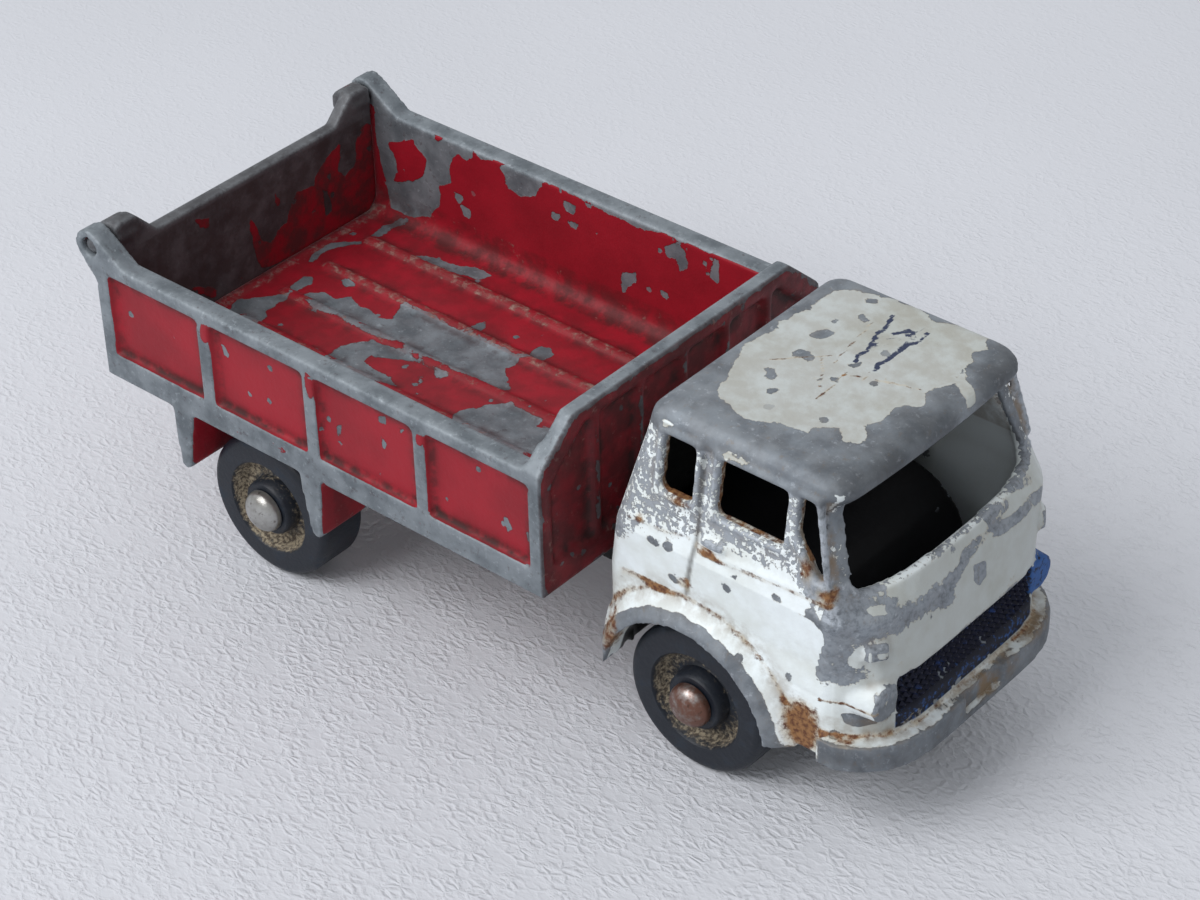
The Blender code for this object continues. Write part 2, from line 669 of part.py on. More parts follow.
def build_chassis(paint):
    front_rear_face = CAB_REAR_X + CAB_WALL + SEAT_GAP
    web_half = WEB_WIDTH / 2
    hump_low = 2 * WHEEL_RADIUS + ARCH_GAP / 2
    hump_rear = cab_rear(HUMP_TOP_Z) + CAB_WALL + SEAT_GAP
    hump_corners = [
        (hump_rear, hump_low, 0),
        (HUMP_FRONT_X, hump_low, 0),
        (HUMP_FRONT_X, HUMP_TOP_Z, HUMP_RADIUS),
        (hump_rear, HUMP_TOP_Z, HUMP_EDGE),
    ]
    hump_span = (-HUMP_WIDTH / 2, HUMP_WIDTH / 2)
    chassis = slab("chassis", rounded(hump_corners, LOBE_STEPS), "XZ", hump_span)
    web_x = (front_rear_face, HUMP_FRONT_X)
    web = box("web", web_x, (-web_half, web_half), (CAB_FLOOR_Z, hump_low + SEAT_GAP))
    pan_rings = [
        cab_ring(CAB_FLOOR_Z, NOSE_FRONT, CAB_WALL + SEAT_GAP),
        cab_ring(CAB_FLOOR_Z + PAN_THICKNESS, NOSE_FRONT, CAB_WALL + SEAT_GAP),
    ]
    pan = loft("pan", pan_rings)
    pan_rear = FRONT_AXLE_X + WHEEL_RADIUS + ARCH_GAP
    cut(pan, box("pan_trim", (0, pan_rear), (-BED_HALF, BED_HALF), (0, CAB_ROOF_Z)))
    add(chassis, web, pan)
    rail_front = front_rear_face + CHASSIS_WALL
    for side, span in enumerate(both_sides(RAIL_HALF - RAIL_THICKNESS, RAIL_HALF)):
        add(chassis, rail(side, span, rail_front))
    deck_rear = HINGE_X + RAIL_DEPTH
    deck_span = (RAIL_THICKNESS / 2 - RAIL_HALF, RAIL_HALF - RAIL_THICKNESS / 2)
    add(chassis, box("deck", (deck_rear, rail_front), deck_span, (DECK_Z - DECK_THICKNESS, DECK_Z)))
    wheel_back = REAR_WHEEL_FACE - WHEEL_WIDTH - HUB_STAND - RUN_GAP
    for side, span in enumerate(both_sides(RAIL_HALF - RAIL_THICKNESS / 2, wheel_back)):
        add(chassis, bearing(f"rear_bearing_{side}", REAR_AXLE_X, DECK_Z - RAIL_DEPTH + SEAT_GAP, span))
    for side, span in enumerate(both_sides(web_half - CHASSIS_WALL, web_half)):
        add(chassis, bearing(f"front_bearing_{side}", FRONT_AXLE_X, CAB_FLOOR_Z + SEAT_GAP, span))
    pocket_low = CAB_FLOOR_Z - PAN_THICKNESS
    pocket_top = HUMP_TOP_Z - CHASSIS_WALL
    pocket_x = (hump_rear + CHASSIS_WALL, HUMP_FRONT_X - HUMP_RADIUS / 2)
    pocket_y = (CHASSIS_WALL - web_half, web_half - CHASSIS_WALL)
    cut(chassis, box("pocket", pocket_x, pocket_y, (pocket_low, pocket_top)))
    across = (-BED_WIDTH, BED_WIDTH)
    cut(chassis, cylinder("chassis_pin_hole", HINGE_PIN_RADIUS + RUN_GAP, (HINGE_X, HINGE_Z), across))
    for label, x in (("rear", REAR_AXLE_X), ("front", FRONT_AXLE_X)):
        cut(chassis, cylinder(f"{label}_axle_hole", AXLE_RADIUS + RUN_GAP, (x, AXLE_Z), across))
    return part(chassis, paint)


def flare(side, outward):
    """A lipped band round the front wheel arch, trimmed off below and sloped off behind."""
    profile = [
        (ARCH_RADIUS - FLARE_LIP, 0),
        (ARCH_RADIUS + FLARE_LIP, 0),
        (ARCH_RADIUS + FLARE_RUN, CAB_WIDTH / 2 - FLARE_FACE),
        (ARCH_RADIUS + FLARE_RUN, CAB_WIDTH / 2 - FLARE_FACE - CAB_WALL),
        (ARCH_RADIUS - FLARE_LIP, CAB_WIDTH / 2 - FLARE_FACE - CAB_WALL),
    ]
    centre = (FRONT_AXLE_X, FLARE_FACE * outward, AXLE_Z)
    band = turned(f"flare_{side}", profile, centre, outward, closed=True)
    trim = box(f"flare_trim_{side}", (0, NOSE_X), (-BED_HALF, BED_HALF), (-CAB_ROOF_Z, FLARE_END_Z))
    tail = [
        (CAB_REAR_X - FLARE_TAIL_OUT, CAB_WAIST_Z),
        (CAB_REAR_X + FLARE_TAIL_IN, FLARE_END_Z),
        (CAB_REAR_X + FLARE_TAIL_IN, 0),
        (0, 0),
        (0, CAB_WAIST_Z),
    ]
    return cut(band, trim, slab(f"flare_tail_{side}", tail, "XZ", (-BED_HALF, BED_HALF)))


def side_window(name, rear, length):
    corners = [
        (rear, WINDOW_SILL_Z, WINDOW_CORNER),
        (rear + length, WINDOW_SILL_Z, WINDOW_CORNER),
        (rear + length, WINDOW_TOP_Z, WINDOW_CORNER),
        (rear, WINDOW_TOP_Z, WINDOW_CORNER),
    ]
    return slab(name, rounded(corners), "XZ", (-CAB_WIDTH, CAB_WIDTH))


def vent_windows():
    """The narrow windows behind the screen pillars, drawn to a point at the foot."""
    corners = [
        (VENT_FOOT_X, VENT_FOOT_Z, VENT_CORNER),
        (VENT_FOOT_X + VENT_FOOT_LENGTH, VENT_FOOT_Z, VENT_CORNER),
        (VENT_X + VENT_LENGTH, WINDOW_TOP_Z, VENT_CORNER),
        (VENT_X, WINDOW_TOP_Z, VENT_CORNER),
        (VENT_X, VENT_BEND_Z, VENT_CORNER),
    ]
    return slab("vent_windows", rounded(corners), "XZ", (-CAB_WIDTH, CAB_WIDTH))


def windscreen():
    base = SCREEN_BASE_WIDTH / 2
    top = SCREEN_TOP_WIDTH / 2
    corners = [
        (-base, SCREEN_BASE_Z - SCREEN_DIP, SCREEN_CORNER),
        (base, SCREEN_BASE_Z - SCREEN_DIP, SCREEN_CORNER),
        (top, VISOR_Z - SCREEN_LEDGE, SCREEN_CORNER),
        (-top, VISOR_Z - SCREEN_LEDGE, SCREEN_CORNER),
    ]
    return slab("windscreen", rounded(corners), "YZ", (DOOR_WINDOW_X, BUMPER_X))


def cab_shell():
    eaves = CAB_ROOF_Z - ROOF_ROUND
    rings = [
        cab_ring(CAB_FLOOR_Z, NOSE_FRONT),
        cab_ring(CAB_WAIST_Z, NOSE_FRONT),
        cab_ring(CAB_BELT_Z, BELT_FRONT),
        cab_ring(SCREEN_BASE_Z, SCREEN_BASE_FRONT),
        cab_ring(VISOR_Z, SCREEN_TOP_FRONT),
        cab_ring(VISOR_Z + VISOR_EDGE, VISOR_FRONT),
        cab_ring(eaves, BROW_FRONT),
    ]
    for angle in (30, 60, 80):
        turn = math.radians(angle)
        inset = ROOF_ROUND * (1 - math.cos(turn))
        rings.append(cab_ring(eaves + ROOF_ROUND * math.sin(turn), BROW_FRONT, inset, eaves))
    rings.append(cab_ring(CAB_ROOF_Z, BROW_FRONT, 3 * ROOF_ROUND, eaves))
    shell = loft("cab", rings)
    hollow = [
        cab_ring(CAB_FLOOR_Z - CAB_WALL, NOSE_FRONT, CAB_WALL),
        cab_ring(CAB_WAIST_Z, NOSE_FRONT, CAB_WALL),
        cab_ring(CAB_BELT_Z, BELT_FRONT, CAB_WALL),
        cab_ring(SCREEN_BASE_Z, SCREEN_BASE_FRONT, WINDOW_WALL),
        cab_ring(VISOR_Z, SCREEN_TOP_FRONT, WINDOW_WALL),
        cab_ring(CAB_ROOF_Z - CAB_WALL, SCREEN_TOP_FRONT, CAB_WALL + ROOF_ROUND / 2, VISOR_Z),
    ]
    return shell, loft("cab_hollow", hollow)


def bumper():
    """A bar round the foot of the nose, with a place for a number plate sunk in its middle."""
    low, high = BUMPER_Z, BUMPER_Z + BUMPER_HEIGHT
    bar = loft("bumper", [cab_ring(z, BUMPER_FRONT, 0, CAB_WAIST_Z, BUMPER_SPREAD) for z in (low, high)])
    cut(bar, box("bumper_trim", (0, BUMPER_END_X), (-BED_HALF, BED_HALF), (0, CAB_ROOF_Z)))
    heights = (0, CAB_BELT_Z)
    inside = loft("bumper_inside", [cab_ring(z, NOSE_FRONT, CAB_WALL / 2, CAB_WAIST_Z) for z in heights])
    recess_x = (BUMPER_X - PLATE_DEPTH, BUMPER_X + PLATE_DEPTH)
    recess_y = (-PLATE_WIDTH / 2, PLATE_WIDTH / 2)
    recess = box("plate_recess", recess_x, recess_y, (low + PLATE_LIFT, high + PLATE_LIFT))
    return cut(bar, inside, recess)


def grille():
    """A shallow sunk band across the nose between the headlamps."""
    low, high = GRILLE_Z, GRILLE_Z + GRILLE_HEIGHT
    band = loft("grille", [cab_ring(z, BUMPER_FRONT) for z in (low, high)])
    heights = (0, CAB_BELT_Z)
    inside = loft("grille_inside", [cab_ring(z, NOSE_FRONT, GRILLE_DEPTH, CAB_WAIST_Z) for z in heights])
    cut(band, inside)
    for side, span in enumerate(both_sides(GRILLE_WIDTH / 2, BED_WIDTH)):
        cut(band, box(f"grille_end_{side}", (0, BUMPER_X + SEAT_GAP), span, (0, CAB_ROOF_Z)))
    return cut(band, box("grille_rear", (0, BUMPER_END_X), (-BED_HALF, BED_HALF), (0, CAB_ROOF_Z)))


def headlamp(side, y):
    shape = bmesh.new()
    half = CAB_WIDTH / 2
    back = front_x(abs(y) + LAMP_RADIUS, half, NOSE_FRONT) - SEAT_GAP
    ahead = front_x(y, half, NOSE_FRONT) + LAMP_STAND
    place = Matrix.Translation(((back + ahead) / 2, y, LAMP_Z)) @ Matrix.Rotation(math.pi / 2, 4, "Y")
    bmesh.ops.create_cone(
        shape,
        cap_ends=True,
        segments=SMALL_STEPS,
        radius1=LAMP_RADIUS,
        radius2=LAMP_RADIUS - LAMP_TAPER,
        depth=ahead - back,
        matrix=place,
    )
    mesh = bpy.data.meshes.new(f"headlamp_{side}")
    shape.to_mesh(mesh)
    shape.free()
    return tool(f"headlamp_{side}", mesh)


def build_cab(paint):
    shell, hollow = cab_shell()
    add(shell, flare("right", -1), flare("left", 1), bumper())
    cut(shell, grille())
    add(shell, headlamp("right", -LAMP_SPREAD / 2), headlamp("left", LAMP_SPREAD / 2))
    cut(shell, hollow)
    lip_back = CAB_WIDTH / 2 - CAB_WALL - SEAT_GAP
    for side, span in enumerate(both_sides(lip_back, BED_HALF)):
        cut(shell, cylinder(f"arch_{side}", ARCH_RADIUS, (FRONT_AXLE_X, AXLE_Z), span, ROUND_STEPS))
    wheel_room = WHEEL_RADIUS + SEAT_GAP
    for side, span in enumerate(both_sides(WEB_WIDTH / 2, lip_back + SEAT_GAP)):
        cut(shell, cylinder(f"wheel_room_{side}", wheel_room, (FRONT_AXLE_X, AXLE_Z), span, ROUND_STEPS))
    passage = WEB_WIDTH / 2 + SEAT_GAP
    rear_gap = (CAB_REAR_X - CAB_WALL, CAB_REAR_X + 2 * CAB_WALL)
    cut(shell, box("chassis_passage", rear_gap, (-passage, passage), (0, DECK_Z + SEAT_GAP)))
    cut(
        shell,
        side_window("quarter_windows", QUARTER_WINDOW_X, QUARTER_WINDOW_LENGTH),
        side_window("door_windows", DOOR_WINDOW_X, DOOR_WINDOW_LENGTH),
        vent_windows(),
        windscreen(),
    )
    return part(shell, paint)


def build_hinge_pin(paint):
    half_length = RAIL_HALF + SEAT_GAP + HINGE_LUG + SEAT_GAP
    profile = [
        (0, half_length + HINGE_HEAD_HEIGHT),
        (HINGE_HEAD_RADIUS, half_length + HINGE_HEAD_HEIGHT),
        (HINGE_HEAD_RADIUS, half_length),
        (HINGE_PIN_RADIUS, half_length),
    ]
    profile += [(radius, -distance) for radius, distance in reversed(profile)]
    pin = turned("bed_hinge_pin", profile, (HINGE_X, 0, HINGE_Z), 1, steps=SMALL_STEPS)
    return part(pin, paint)


def main():
    start_scene()
    white = material("white_cab_paint", (0.75, 0.8, 0.8), 0.45, 0)
    red = material("red_bed_paint", (0.25, 0.02, 0.03), 0.4, 0)
    black = material("black_chassis_paint", (0.02, 0.02, 0.022), 0.5, 0)
    steel = material("axle_steel", (0.45, 0.42, 0.4), 0.35, 1)
    plastic = material("wheel_plastic", (0.025, 0.028, 0.032), 0.6, 0)
    build_cab(white)
    build_chassis(black)
    build_bed(red)
    build_tailgate(red)
    build_hinge_pin(steel)
    build_axle("front_axle", FRONT_AXLE_X, FRONT_WHEEL_FACE, steel)
    build_axle("rear_axle", REAR_AXLE_X, REAR_WHEEL_FACE, steel)
    ends = (("front", FRONT_AXLE_X, FRONT_WHEEL_FACE), ("rear", REAR_AXLE_X, REAR_WHEEL_FACE))
    for end, axle_x, face in ends:
        for side, outward in (("left", 1), ("right", -1)):
            build_wheel(f"{end}_{side}_wheel", axle_x, face, outward, plastic)


main()
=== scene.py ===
import math

import bmesh
import bpy
import numpy as np
from mathutils import Matrix, Quaternion, Vector


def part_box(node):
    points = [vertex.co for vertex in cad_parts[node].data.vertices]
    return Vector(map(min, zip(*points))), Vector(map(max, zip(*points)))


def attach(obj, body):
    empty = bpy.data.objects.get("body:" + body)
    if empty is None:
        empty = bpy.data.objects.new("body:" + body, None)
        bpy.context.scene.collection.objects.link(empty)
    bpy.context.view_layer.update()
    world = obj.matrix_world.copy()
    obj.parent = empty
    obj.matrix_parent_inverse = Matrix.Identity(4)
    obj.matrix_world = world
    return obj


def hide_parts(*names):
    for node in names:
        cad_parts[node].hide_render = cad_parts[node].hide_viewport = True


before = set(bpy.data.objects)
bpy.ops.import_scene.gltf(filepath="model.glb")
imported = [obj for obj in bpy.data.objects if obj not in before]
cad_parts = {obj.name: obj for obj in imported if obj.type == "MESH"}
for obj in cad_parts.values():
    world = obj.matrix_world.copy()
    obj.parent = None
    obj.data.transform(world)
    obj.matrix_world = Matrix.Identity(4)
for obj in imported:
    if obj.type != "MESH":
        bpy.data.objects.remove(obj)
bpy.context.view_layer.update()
mm = 0.001
print("stage: frame loaded")


# sRGB 0-255 to the linear values that nodes take
def rgb(r, g, b):
    made = []
    for v in (r, g, b):
        v /= 255
        made.append(v / 12.92 if v <= 0.04045 else ((v + 0.055) / 1.055) ** 2.4)
    return (*made, 1)


# node graph of one material, with short calls for the nodes used here
class Graph:
    def __init__(self, name):
        self.material = bpy.data.materials.new(name)
        self.material.use_nodes = True
        self.tree = self.material.node_tree
        self.tree.nodes.clear()
        self.shader = self.add("BsdfPrincipled")
        out = self.add("OutputMaterial")
        self.tree.links.new(self.shader.outputs[0], out.inputs[0])
        self.place = self.add("TexCoord").outputs["Object"]

    # a new node, with what goes into its sockets
    def add(self, kind, given=(), **settings):
        node = self.tree.nodes.new("ShaderNode" + kind)
        for key, value in settings.items():
            setattr(node, key, value)
        for key, value in dict(given).items():
            self.put(node.inputs[key], value)
        return node

    def put(self, socket, value):
        if isinstance(value, bpy.types.NodeSocket):
            self.tree.links.new(value, socket)
        else:
            socket.default_value = value

    def attribute(self, name):
        return self.add("Attribute", attribute_name=name).outputs["Fac"]

    def stretch(self, scale, turn=(0, 0, 0)):
        given = {"Vector": self.place, "Rotation": turn, "Scale": scale}
        return self.add("Mapping", given).outputs[0]

    def noise(self, scale, detail=5.0, rough=0.55, place=None, warp=0.0):
        given = {"Vector": place or self.place, "Scale": scale, "Detail": detail}
        given.update({"Roughness": rough, "Distortion": warp})
        return self.add("TexNoise", given).outputs["Fac"]

    def cells(self, scale, feature="F1", place=None):
        given = {"Vector": place or self.place, "Scale": scale}
        return self.add("TexVoronoi", given, feature=feature)

    # the place pushed about by noise, so that straight edges wander
    def wander(self, place, scale, amount):
        push = self.noise(scale, 3, 0.6, place).node.outputs["Color"]
        given = {0: push, 1: (amount, amount, amount), 2: place}
        return self.add("VectorMath", given, operation="MULTIPLY_ADD").outputs[0]

    def maths(self, operation, a, b=0.0, clamp=False):
        return self.add("Math", {0: a, 1: b}, operation=operation, use_clamp=clamp).outputs[0]

    def ramp(self, value, low, high, start=0.0, end=1.0):
        given = {"Value": value, "From Min": low, "From Max": high, "To Min": start, "To Max": end}
        return self.add("MapRange", given, interpolation_type="SMOOTHSTEP").outputs[0]

    def mix(self, share, a, b):
        return self.add("Mix", {0: share, 6: a, 7: b}, data_type="RGBA").outputs[2]

    def bump(self, height, distance, strength=1.0, under=None):
        given = {"Height": height, "Distance": distance, "Strength": strength}
        if under:
            given["Normal"] = under
        return self.add("Bump", given).outputs[0]

    def finish(self, colour, rough, normal=None, metal=0.0, specular=0.5):
        given = {"Base Color": colour, "Roughness": rough, "Metallic": metal, "Specular IOR Level": specular}
        if normal:
            given["Normal"] = normal
        for key, value in given.items():
            self.put(self.shader.inputs[key], value)
        return self.material


# where chips begin and are whole, where their rims begin, and how fine the small noises are
coat = {
    "chipFrom": 0.48, "chipWhole": 0.53, "rimFrom": 0.40, "rimWhole": 0.49, "spotFrom": 0.52, "spotWhole": 0.46,
    "calm": 0.45, "fizz": 2.4, "dry": 0.62, "sand": 0.00002,
    "castScale": 420, "fleckScale": 2300, "pitScale": 1900, "rustScale": 1500, "sandScale": 5200,
}


# enamel over cast zinc: chips come where the wear attribute and the noise add up
def chippedPaint(name, look):
    g = Graph(name)
    wear, rust, dirt = g.attribute("wear"), g.attribute("rust"), g.attribute("dirt")
    coarse = g.noise(look["chipScale"], 7, 0.6, warp=0.4)
    fine = g.noise(look["chipScale"] * 5, 4, 0.6)
    speck = g.attribute("speck")
    ragged = g.ramp(speck, 0, 1, look["ragged"], look["ragged"] * coat["calm"])
    ragged = g.maths("MULTIPLY", g.maths("SUBTRACT", coarse, 0.5), ragged)
    grain = g.ramp(speck, 0, 1, look["grain"], coat["fizz"])
    grain = g.maths("MULTIPLY", g.maths("SUBTRACT", fine, 0.5), grain)
    total = g.maths("ADD", g.maths("ADD", wear, ragged), grain)
    bare = g.ramp(total, coat["chipFrom"], coat["chipWhole"])
    # scattered pin-head chips
    spots = g.cells(look["spotScale"], place=g.stretch((1, 1, 1), (0.3, 0.5, 0.2)))
    pick = g.add("SeparateColor", {0: spots.outputs["Color"]}).outputs[0]
    chance = g.maths("ADD", pick, g.maths("MULTIPLY", wear, 0.35))
    chosen = g.ramp(chance, look["spots"], look["spots"] + 0.02)
    near = g.maths("ADD", spots.outputs["Distance"], g.maths("MULTIPLY", fine, 0.5))
    spot = g.maths("MULTIPLY", chosen, g.ramp(near, coat["spotFrom"], coat["spotWhole"]))
    bare = g.maths("MAXIMUM", bare, spot)
    # paint, with a second tone and grime in the hollows
    tone = g.ramp(g.noise(look["toneScale"], 4, 0.6), 0.35, 0.7)
    paint = g.mix(tone, look["paint"], look["faded"])
    if look.get("second"):
        # paler blue specks where the mesh asks: paler paint, and a painted highlight along the ledge
        glow = g.ramp(g.maths("ADD", fine, g.attribute("bright")), 0.58, 0.8)
        paint = g.mix(g.attribute("second"), paint, g.mix(glow, look["second"], look["secondLight"]))
    # greyer paint where the mesh asks: painted shade on the cab's nose, greyed paint on its roof
    if look.get("dull"):
        paint = g.mix(g.attribute("dull"), paint, g.mix(tone, look["dull"], look["dullDark"]))
    soil = g.maths("MULTIPLY", dirt, g.ramp(g.noise(look["toneScale"] * 4, 6, 0.65), 0.34, 0.62))
    paint = g.mix(soil, paint, look["grime"])
    # rim: paint thins and darkens beside a chip
    rim = g.maths("SUBTRACT", g.ramp(total, coat["rimFrom"], coat["rimWhole"]), bare, clamp=True)
    paint = g.mix(g.maths("MULTIPLY", rim, look["rim"]), paint, look["rimColour"])
    # bare metal, polished on edges, flecked and pitted
    metal = g.mix(g.ramp(g.noise(coat["castScale"], 6, 0.6), 0.34, 0.68), look["metal"], look["metalDark"])
    flecks = g.ramp(g.noise(coat["fleckScale"], 4, 0.7), 0.56, 0.74, 0, look["fleck"])
    polish = g.maths("MULTIPLY", g.attribute("edge"), g.ramp(fine, 0.3, 0.6))
    metal = g.mix(g.maths("ADD", polish, flecks, clamp=True), metal, look["metalBright"])
    pits = g.ramp(g.noise(coat["pitScale"], 5, 0.7), 0.57, 0.7, 0, look["pits"])
    metal = g.mix(pits, metal, look["grime"])
    metal = g.mix(soil, metal, look["grime"])
    colour = g.mix(bare, paint, metal)
    # painted shade: the finished colour is darkened where the mesh asks for it
    if look.get("gloom"):
        colour = g.mix(g.attribute("gloom"), colour, look["gloom"])
    # rust, its stain, and drawn strokes of ink
    bloom = g.maths("MULTIPLY", g.noise(coat["rustScale"], 7, 0.68), 1.4)
    rusty = g.ramp(g.maths("ADD", rust, bloom), 0.98, 1.3)
    stain = g.ramp(g.maths("ADD", rust, g.maths("MULTIPLY", coarse, 0.9)), 0.62, 1.1, 0, 0.6)
    colour = g.mix(stain, colour, look["stain"])
    colour = g.mix(rusty, colour, g.mix(g.ramp(fine, 0.4, 0.65), look["rust"], look["rustDark"]))
    if look.get("ink"):
        strokes = g.maths("MULTIPLY", g.noise(coat["rustScale"], 6, 0.7, warp=0.8), 0.9)
        inked = g.ramp(g.maths("ADD", g.attribute("ink"), strokes), 0.98, 1.12)
        colour = g.mix(inked, colour, look["ink"])
    dull = g.maths("MAXIMUM", g.maths("MULTIPLY", rusty, 0.9), soil)
    if look.get("second"):
        dull = g.maths("MAXIMUM", dull, g.attribute("second"))
    rough = g.ramp(g.maths("MAXIMUM", bare, dull), 0, 1, look["gloss"], coat["dry"])
    height = g.maths("SUBTRACT", g.maths("MULTIPLY", fine, 0.25), bare)
    height = g.maths("ADD", height, g.maths("MULTIPLY", rusty, 0.8))
    normal = g.bump(height, look["thick"], 0.8)
    normal = g.bump(g.noise(coat["rustScale"], 4, 0.6), look["dent"], 0.5, normal)
    normal = g.bump(g.noise(coat["sandScale"], 3, 0.6), coat["sand"], 0.45, normal)
    shine = g.maths("MULTIPLY", g.maths("SUBTRACT", bare, dull, clamp=True), look["metalShine"])
    return g.finish(colour, rough, normal, shine, look["specular"])


# a new object in the scene
def placed(name, data):
    obj = bpy.data.objects.new(name, data)
    bpy.context.scene.collection.objects.link(obj)
    return obj


# the mesh that a bmesh holds
def poured(bm, name):
    mesh = bpy.data.meshes.new(name)
    bm.to_mesh(mesh)
    bm.free()
    return mesh


# the mesh that an object has after its modifiers
def built(obj):
    return bpy.data.meshes.new_from_object(obj.evaluated_get(bpy.context.evaluated_depsgraph_get()))


# a softened copy of a CAD node, melted together with small extra solids
def castCopy(name, node, look, extras=(), grooves=()):
    bm = bmesh.new()
    bm.from_mesh(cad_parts[node].data)
    bmesh.ops.remove_doubles(bm, verts=bm.verts, dist=1e-6)
    for mesh in extras:
        bm.from_mesh(mesh)
    bmesh.ops.recalc_face_normals(bm, faces=bm.faces)
    obj = placed(name, poured(bm, name))
    cutters = []
    for mesh in grooves:
        cutters.append(placed("groove", mesh))
        engrave = obj.modifiers.new("engrave", "BOOLEAN")
        engrave.object = cutters[-1]
        engrave.solver = "EXACT"
        engrave.use_self = True
    melt = obj.modifiers.new("melt", "REMESH")
    melt.mode = "VOXEL"
    melt.voxel_size = look["grainSize"]
    soften = obj.modifiers.new("soften", "SMOOTH")
    soften.factor = 0.5
    soften.iterations = look["soften"]
    done = built(obj)
    obj.modifiers.clear()
    obj.data = done
    done.name = name
    for cutter in cutters:
        bpy.data.objects.remove(cutter)
    low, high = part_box(node)
    points = readPoints(done)
    done.vertices.foreach_set("co", np.clip(points, low, high).astype(np.float32).ravel())
    done.shade_smooth()
    done.update()
    return obj


# held between 0 and 1
def unit(value):
    return np.clip(value, 0, 1)


def readPoints(mesh, what="co"):
    values = np.empty(len(mesh.vertices) * 3, np.float32)
    mesh.vertices.foreach_get(what, values)
    return values.reshape(-1, 3).astype(float)


# how far each point stands out of (or sinks under) its neighbours, spread over a few rounds
def bendOf(mesh, rounds=4):
    points, normals = readPoints(mesh), readPoints(mesh, "normal")
    ends = np.empty(len(mesh.edges) * 2, np.int32)
    mesh.edges.foreach_get("vertices", ends)
    a, b = ends.reshape(-1, 2).T
    count = len(points)
    degree = np.bincount(a, minlength=count) + np.bincount(b, minlength=count)

    def around(values):
        return (np.bincount(a, values[b], count) + np.bincount(b, values[a], count)) / degree

    mean = np.stack([around(points[:, i]) for i in range(3)], 1)
    bend = ((points - mean) * normals).sum(1)
    for _ in range(rounds):
        bend = (bend + around(bend)) / 2
    return bend / mm


# places in mm, normals and bend of a piece's points
def surface(obj):
    return readPoints(obj.data) / mm, readPoints(obj.data, "normal"), bendOf(obj.data)


# named numbers on the points, read by the materials
def setAttributes(obj, **values):
    for name, numbers in values.items():
        made = obj.data.attributes.new(name, "FLOAT", "POINT")
        made.data.foreach_set("value", np.clip(numbers, 0, 2).astype(np.float32))


# soft-edged ellipsoids: (centre, radii, amount), in mm
def patches(points, places):
    total = np.zeros(len(points))
    for centre, radii, amount in places:
        away = np.sqrt((((points - centre) / radii) ** 2).sum(1))
        total += amount * unit(1.4 - away)
    return total


# distance from a line drawn on a face
def fromLine(u, v, line):
    best = np.full(len(u), 99.0)
    for (au, av), (bu, bv) in zip(line, line[1:]):
        run, rise = bu - au, bv - av
        along = unit(((u - au) * run + (v - av) * rise) / (run * run + rise * rise))
        best = np.minimum(best, np.hypot(u - au - along * run, v - av - along * rise))
    return best


# how near each point is to a line drawn on a face, 1 on the line
def nearLine(u, v, line, width):
    return unit(1.5 - fromLine(u, v, line) / width)


# distance inside an outline drawn on a face, less than 0 outside it
def within(u, v, outline):
    closed = outline + outline[:1]
    held = np.zeros(len(u), bool)
    for (au, av), (bu, bv) in zip(closed, closed[1:]):
        if bv != av:
            held ^= ((av > v) != (bv > v)) & (u < au + (bu - au) * (v - av) / (bv - av))
    best = fromLine(u, v, closed)
    return np.where(held, best, -best)


# distance inside the nearest of several outlines
def inAny(u, v, outlines):
    return np.max([within(u, v, outline) for outline in outlines], 0)


# true where a value lies between two limits
def between(value, low, high):
    return (value > low) & (value < high)


# the same with soft ends, as a share
def band(value, low, high, soft):
    return unit((value - low) / soft + 0.5) * unit((high - value) / soft + 0.5)


# block of given sizes in mm, turned about Z by degrees
def blockMesh(centre, sizes, turn):
    bm = bmesh.new()
    bmesh.ops.create_cube(bm, size=mm)
    bmesh.ops.scale(bm, vec=sizes, verts=bm.verts)
    bmesh.ops.rotate(bm, matrix=Matrix.Rotation(math.radians(turn), 3, "Z"), verts=bm.verts)
    bmesh.ops.translate(bm, vec=Vector(centre) * mm, verts=bm.verts)
    return poured(bm, "block")


# round bar along points given in mm
def barMesh(points, radius, closed=False):
    curve = bpy.data.curves.new("bar", "CURVE")
    curve.dimensions = "3D"
    curve.bevel_depth = radius * mm
    curve.bevel_resolution = 2
    curve.use_fill_caps = True
    line = curve.splines.new("POLY")
    line.points.add(len(points) - 1)
    for spot, point in zip(line.points, points):
        spot.co = (*(Vector(point) * mm), 1)
    line.use_cyclic_u = closed
    holder = placed("bar", curve)
    mesh = built(holder)
    bpy.data.objects.remove(holder)
    return mesh


# profile of (radius, distance) points in mm, turned about a line along Y
def turned(name, profile, centre, outward, steps=96, closed=False):
    bm = bmesh.new()
    verts = [bm.verts.new((r * mm, d * mm * outward, 0)) for r, d in profile]
    pairs = list(zip(verts, verts[1:] + verts[:1])) if closed else list(zip(verts, verts[1:]))
    edges = [bm.edges.new(pair) for pair in pairs]
    bmesh.ops.spin(bm, geom=verts + edges, cent=(0, 0, 0), axis=(0, 1, 0), angle=math.tau, steps=steps)
    bmesh.ops.remove_doubles(bm, verts=bm.verts, dist=1e-7)
    bmesh.ops.translate(bm, vec=Vector(centre) * mm, verts=bm.verts)
    bmesh.ops.recalc_face_normals(bm, faces=bm.faces)
    mesh = poured(bm, name)
    mesh.shade_smooth()
    mesh.set_sharp_from_angle(angle=math.radians(40))
    return placed(name, mesh)


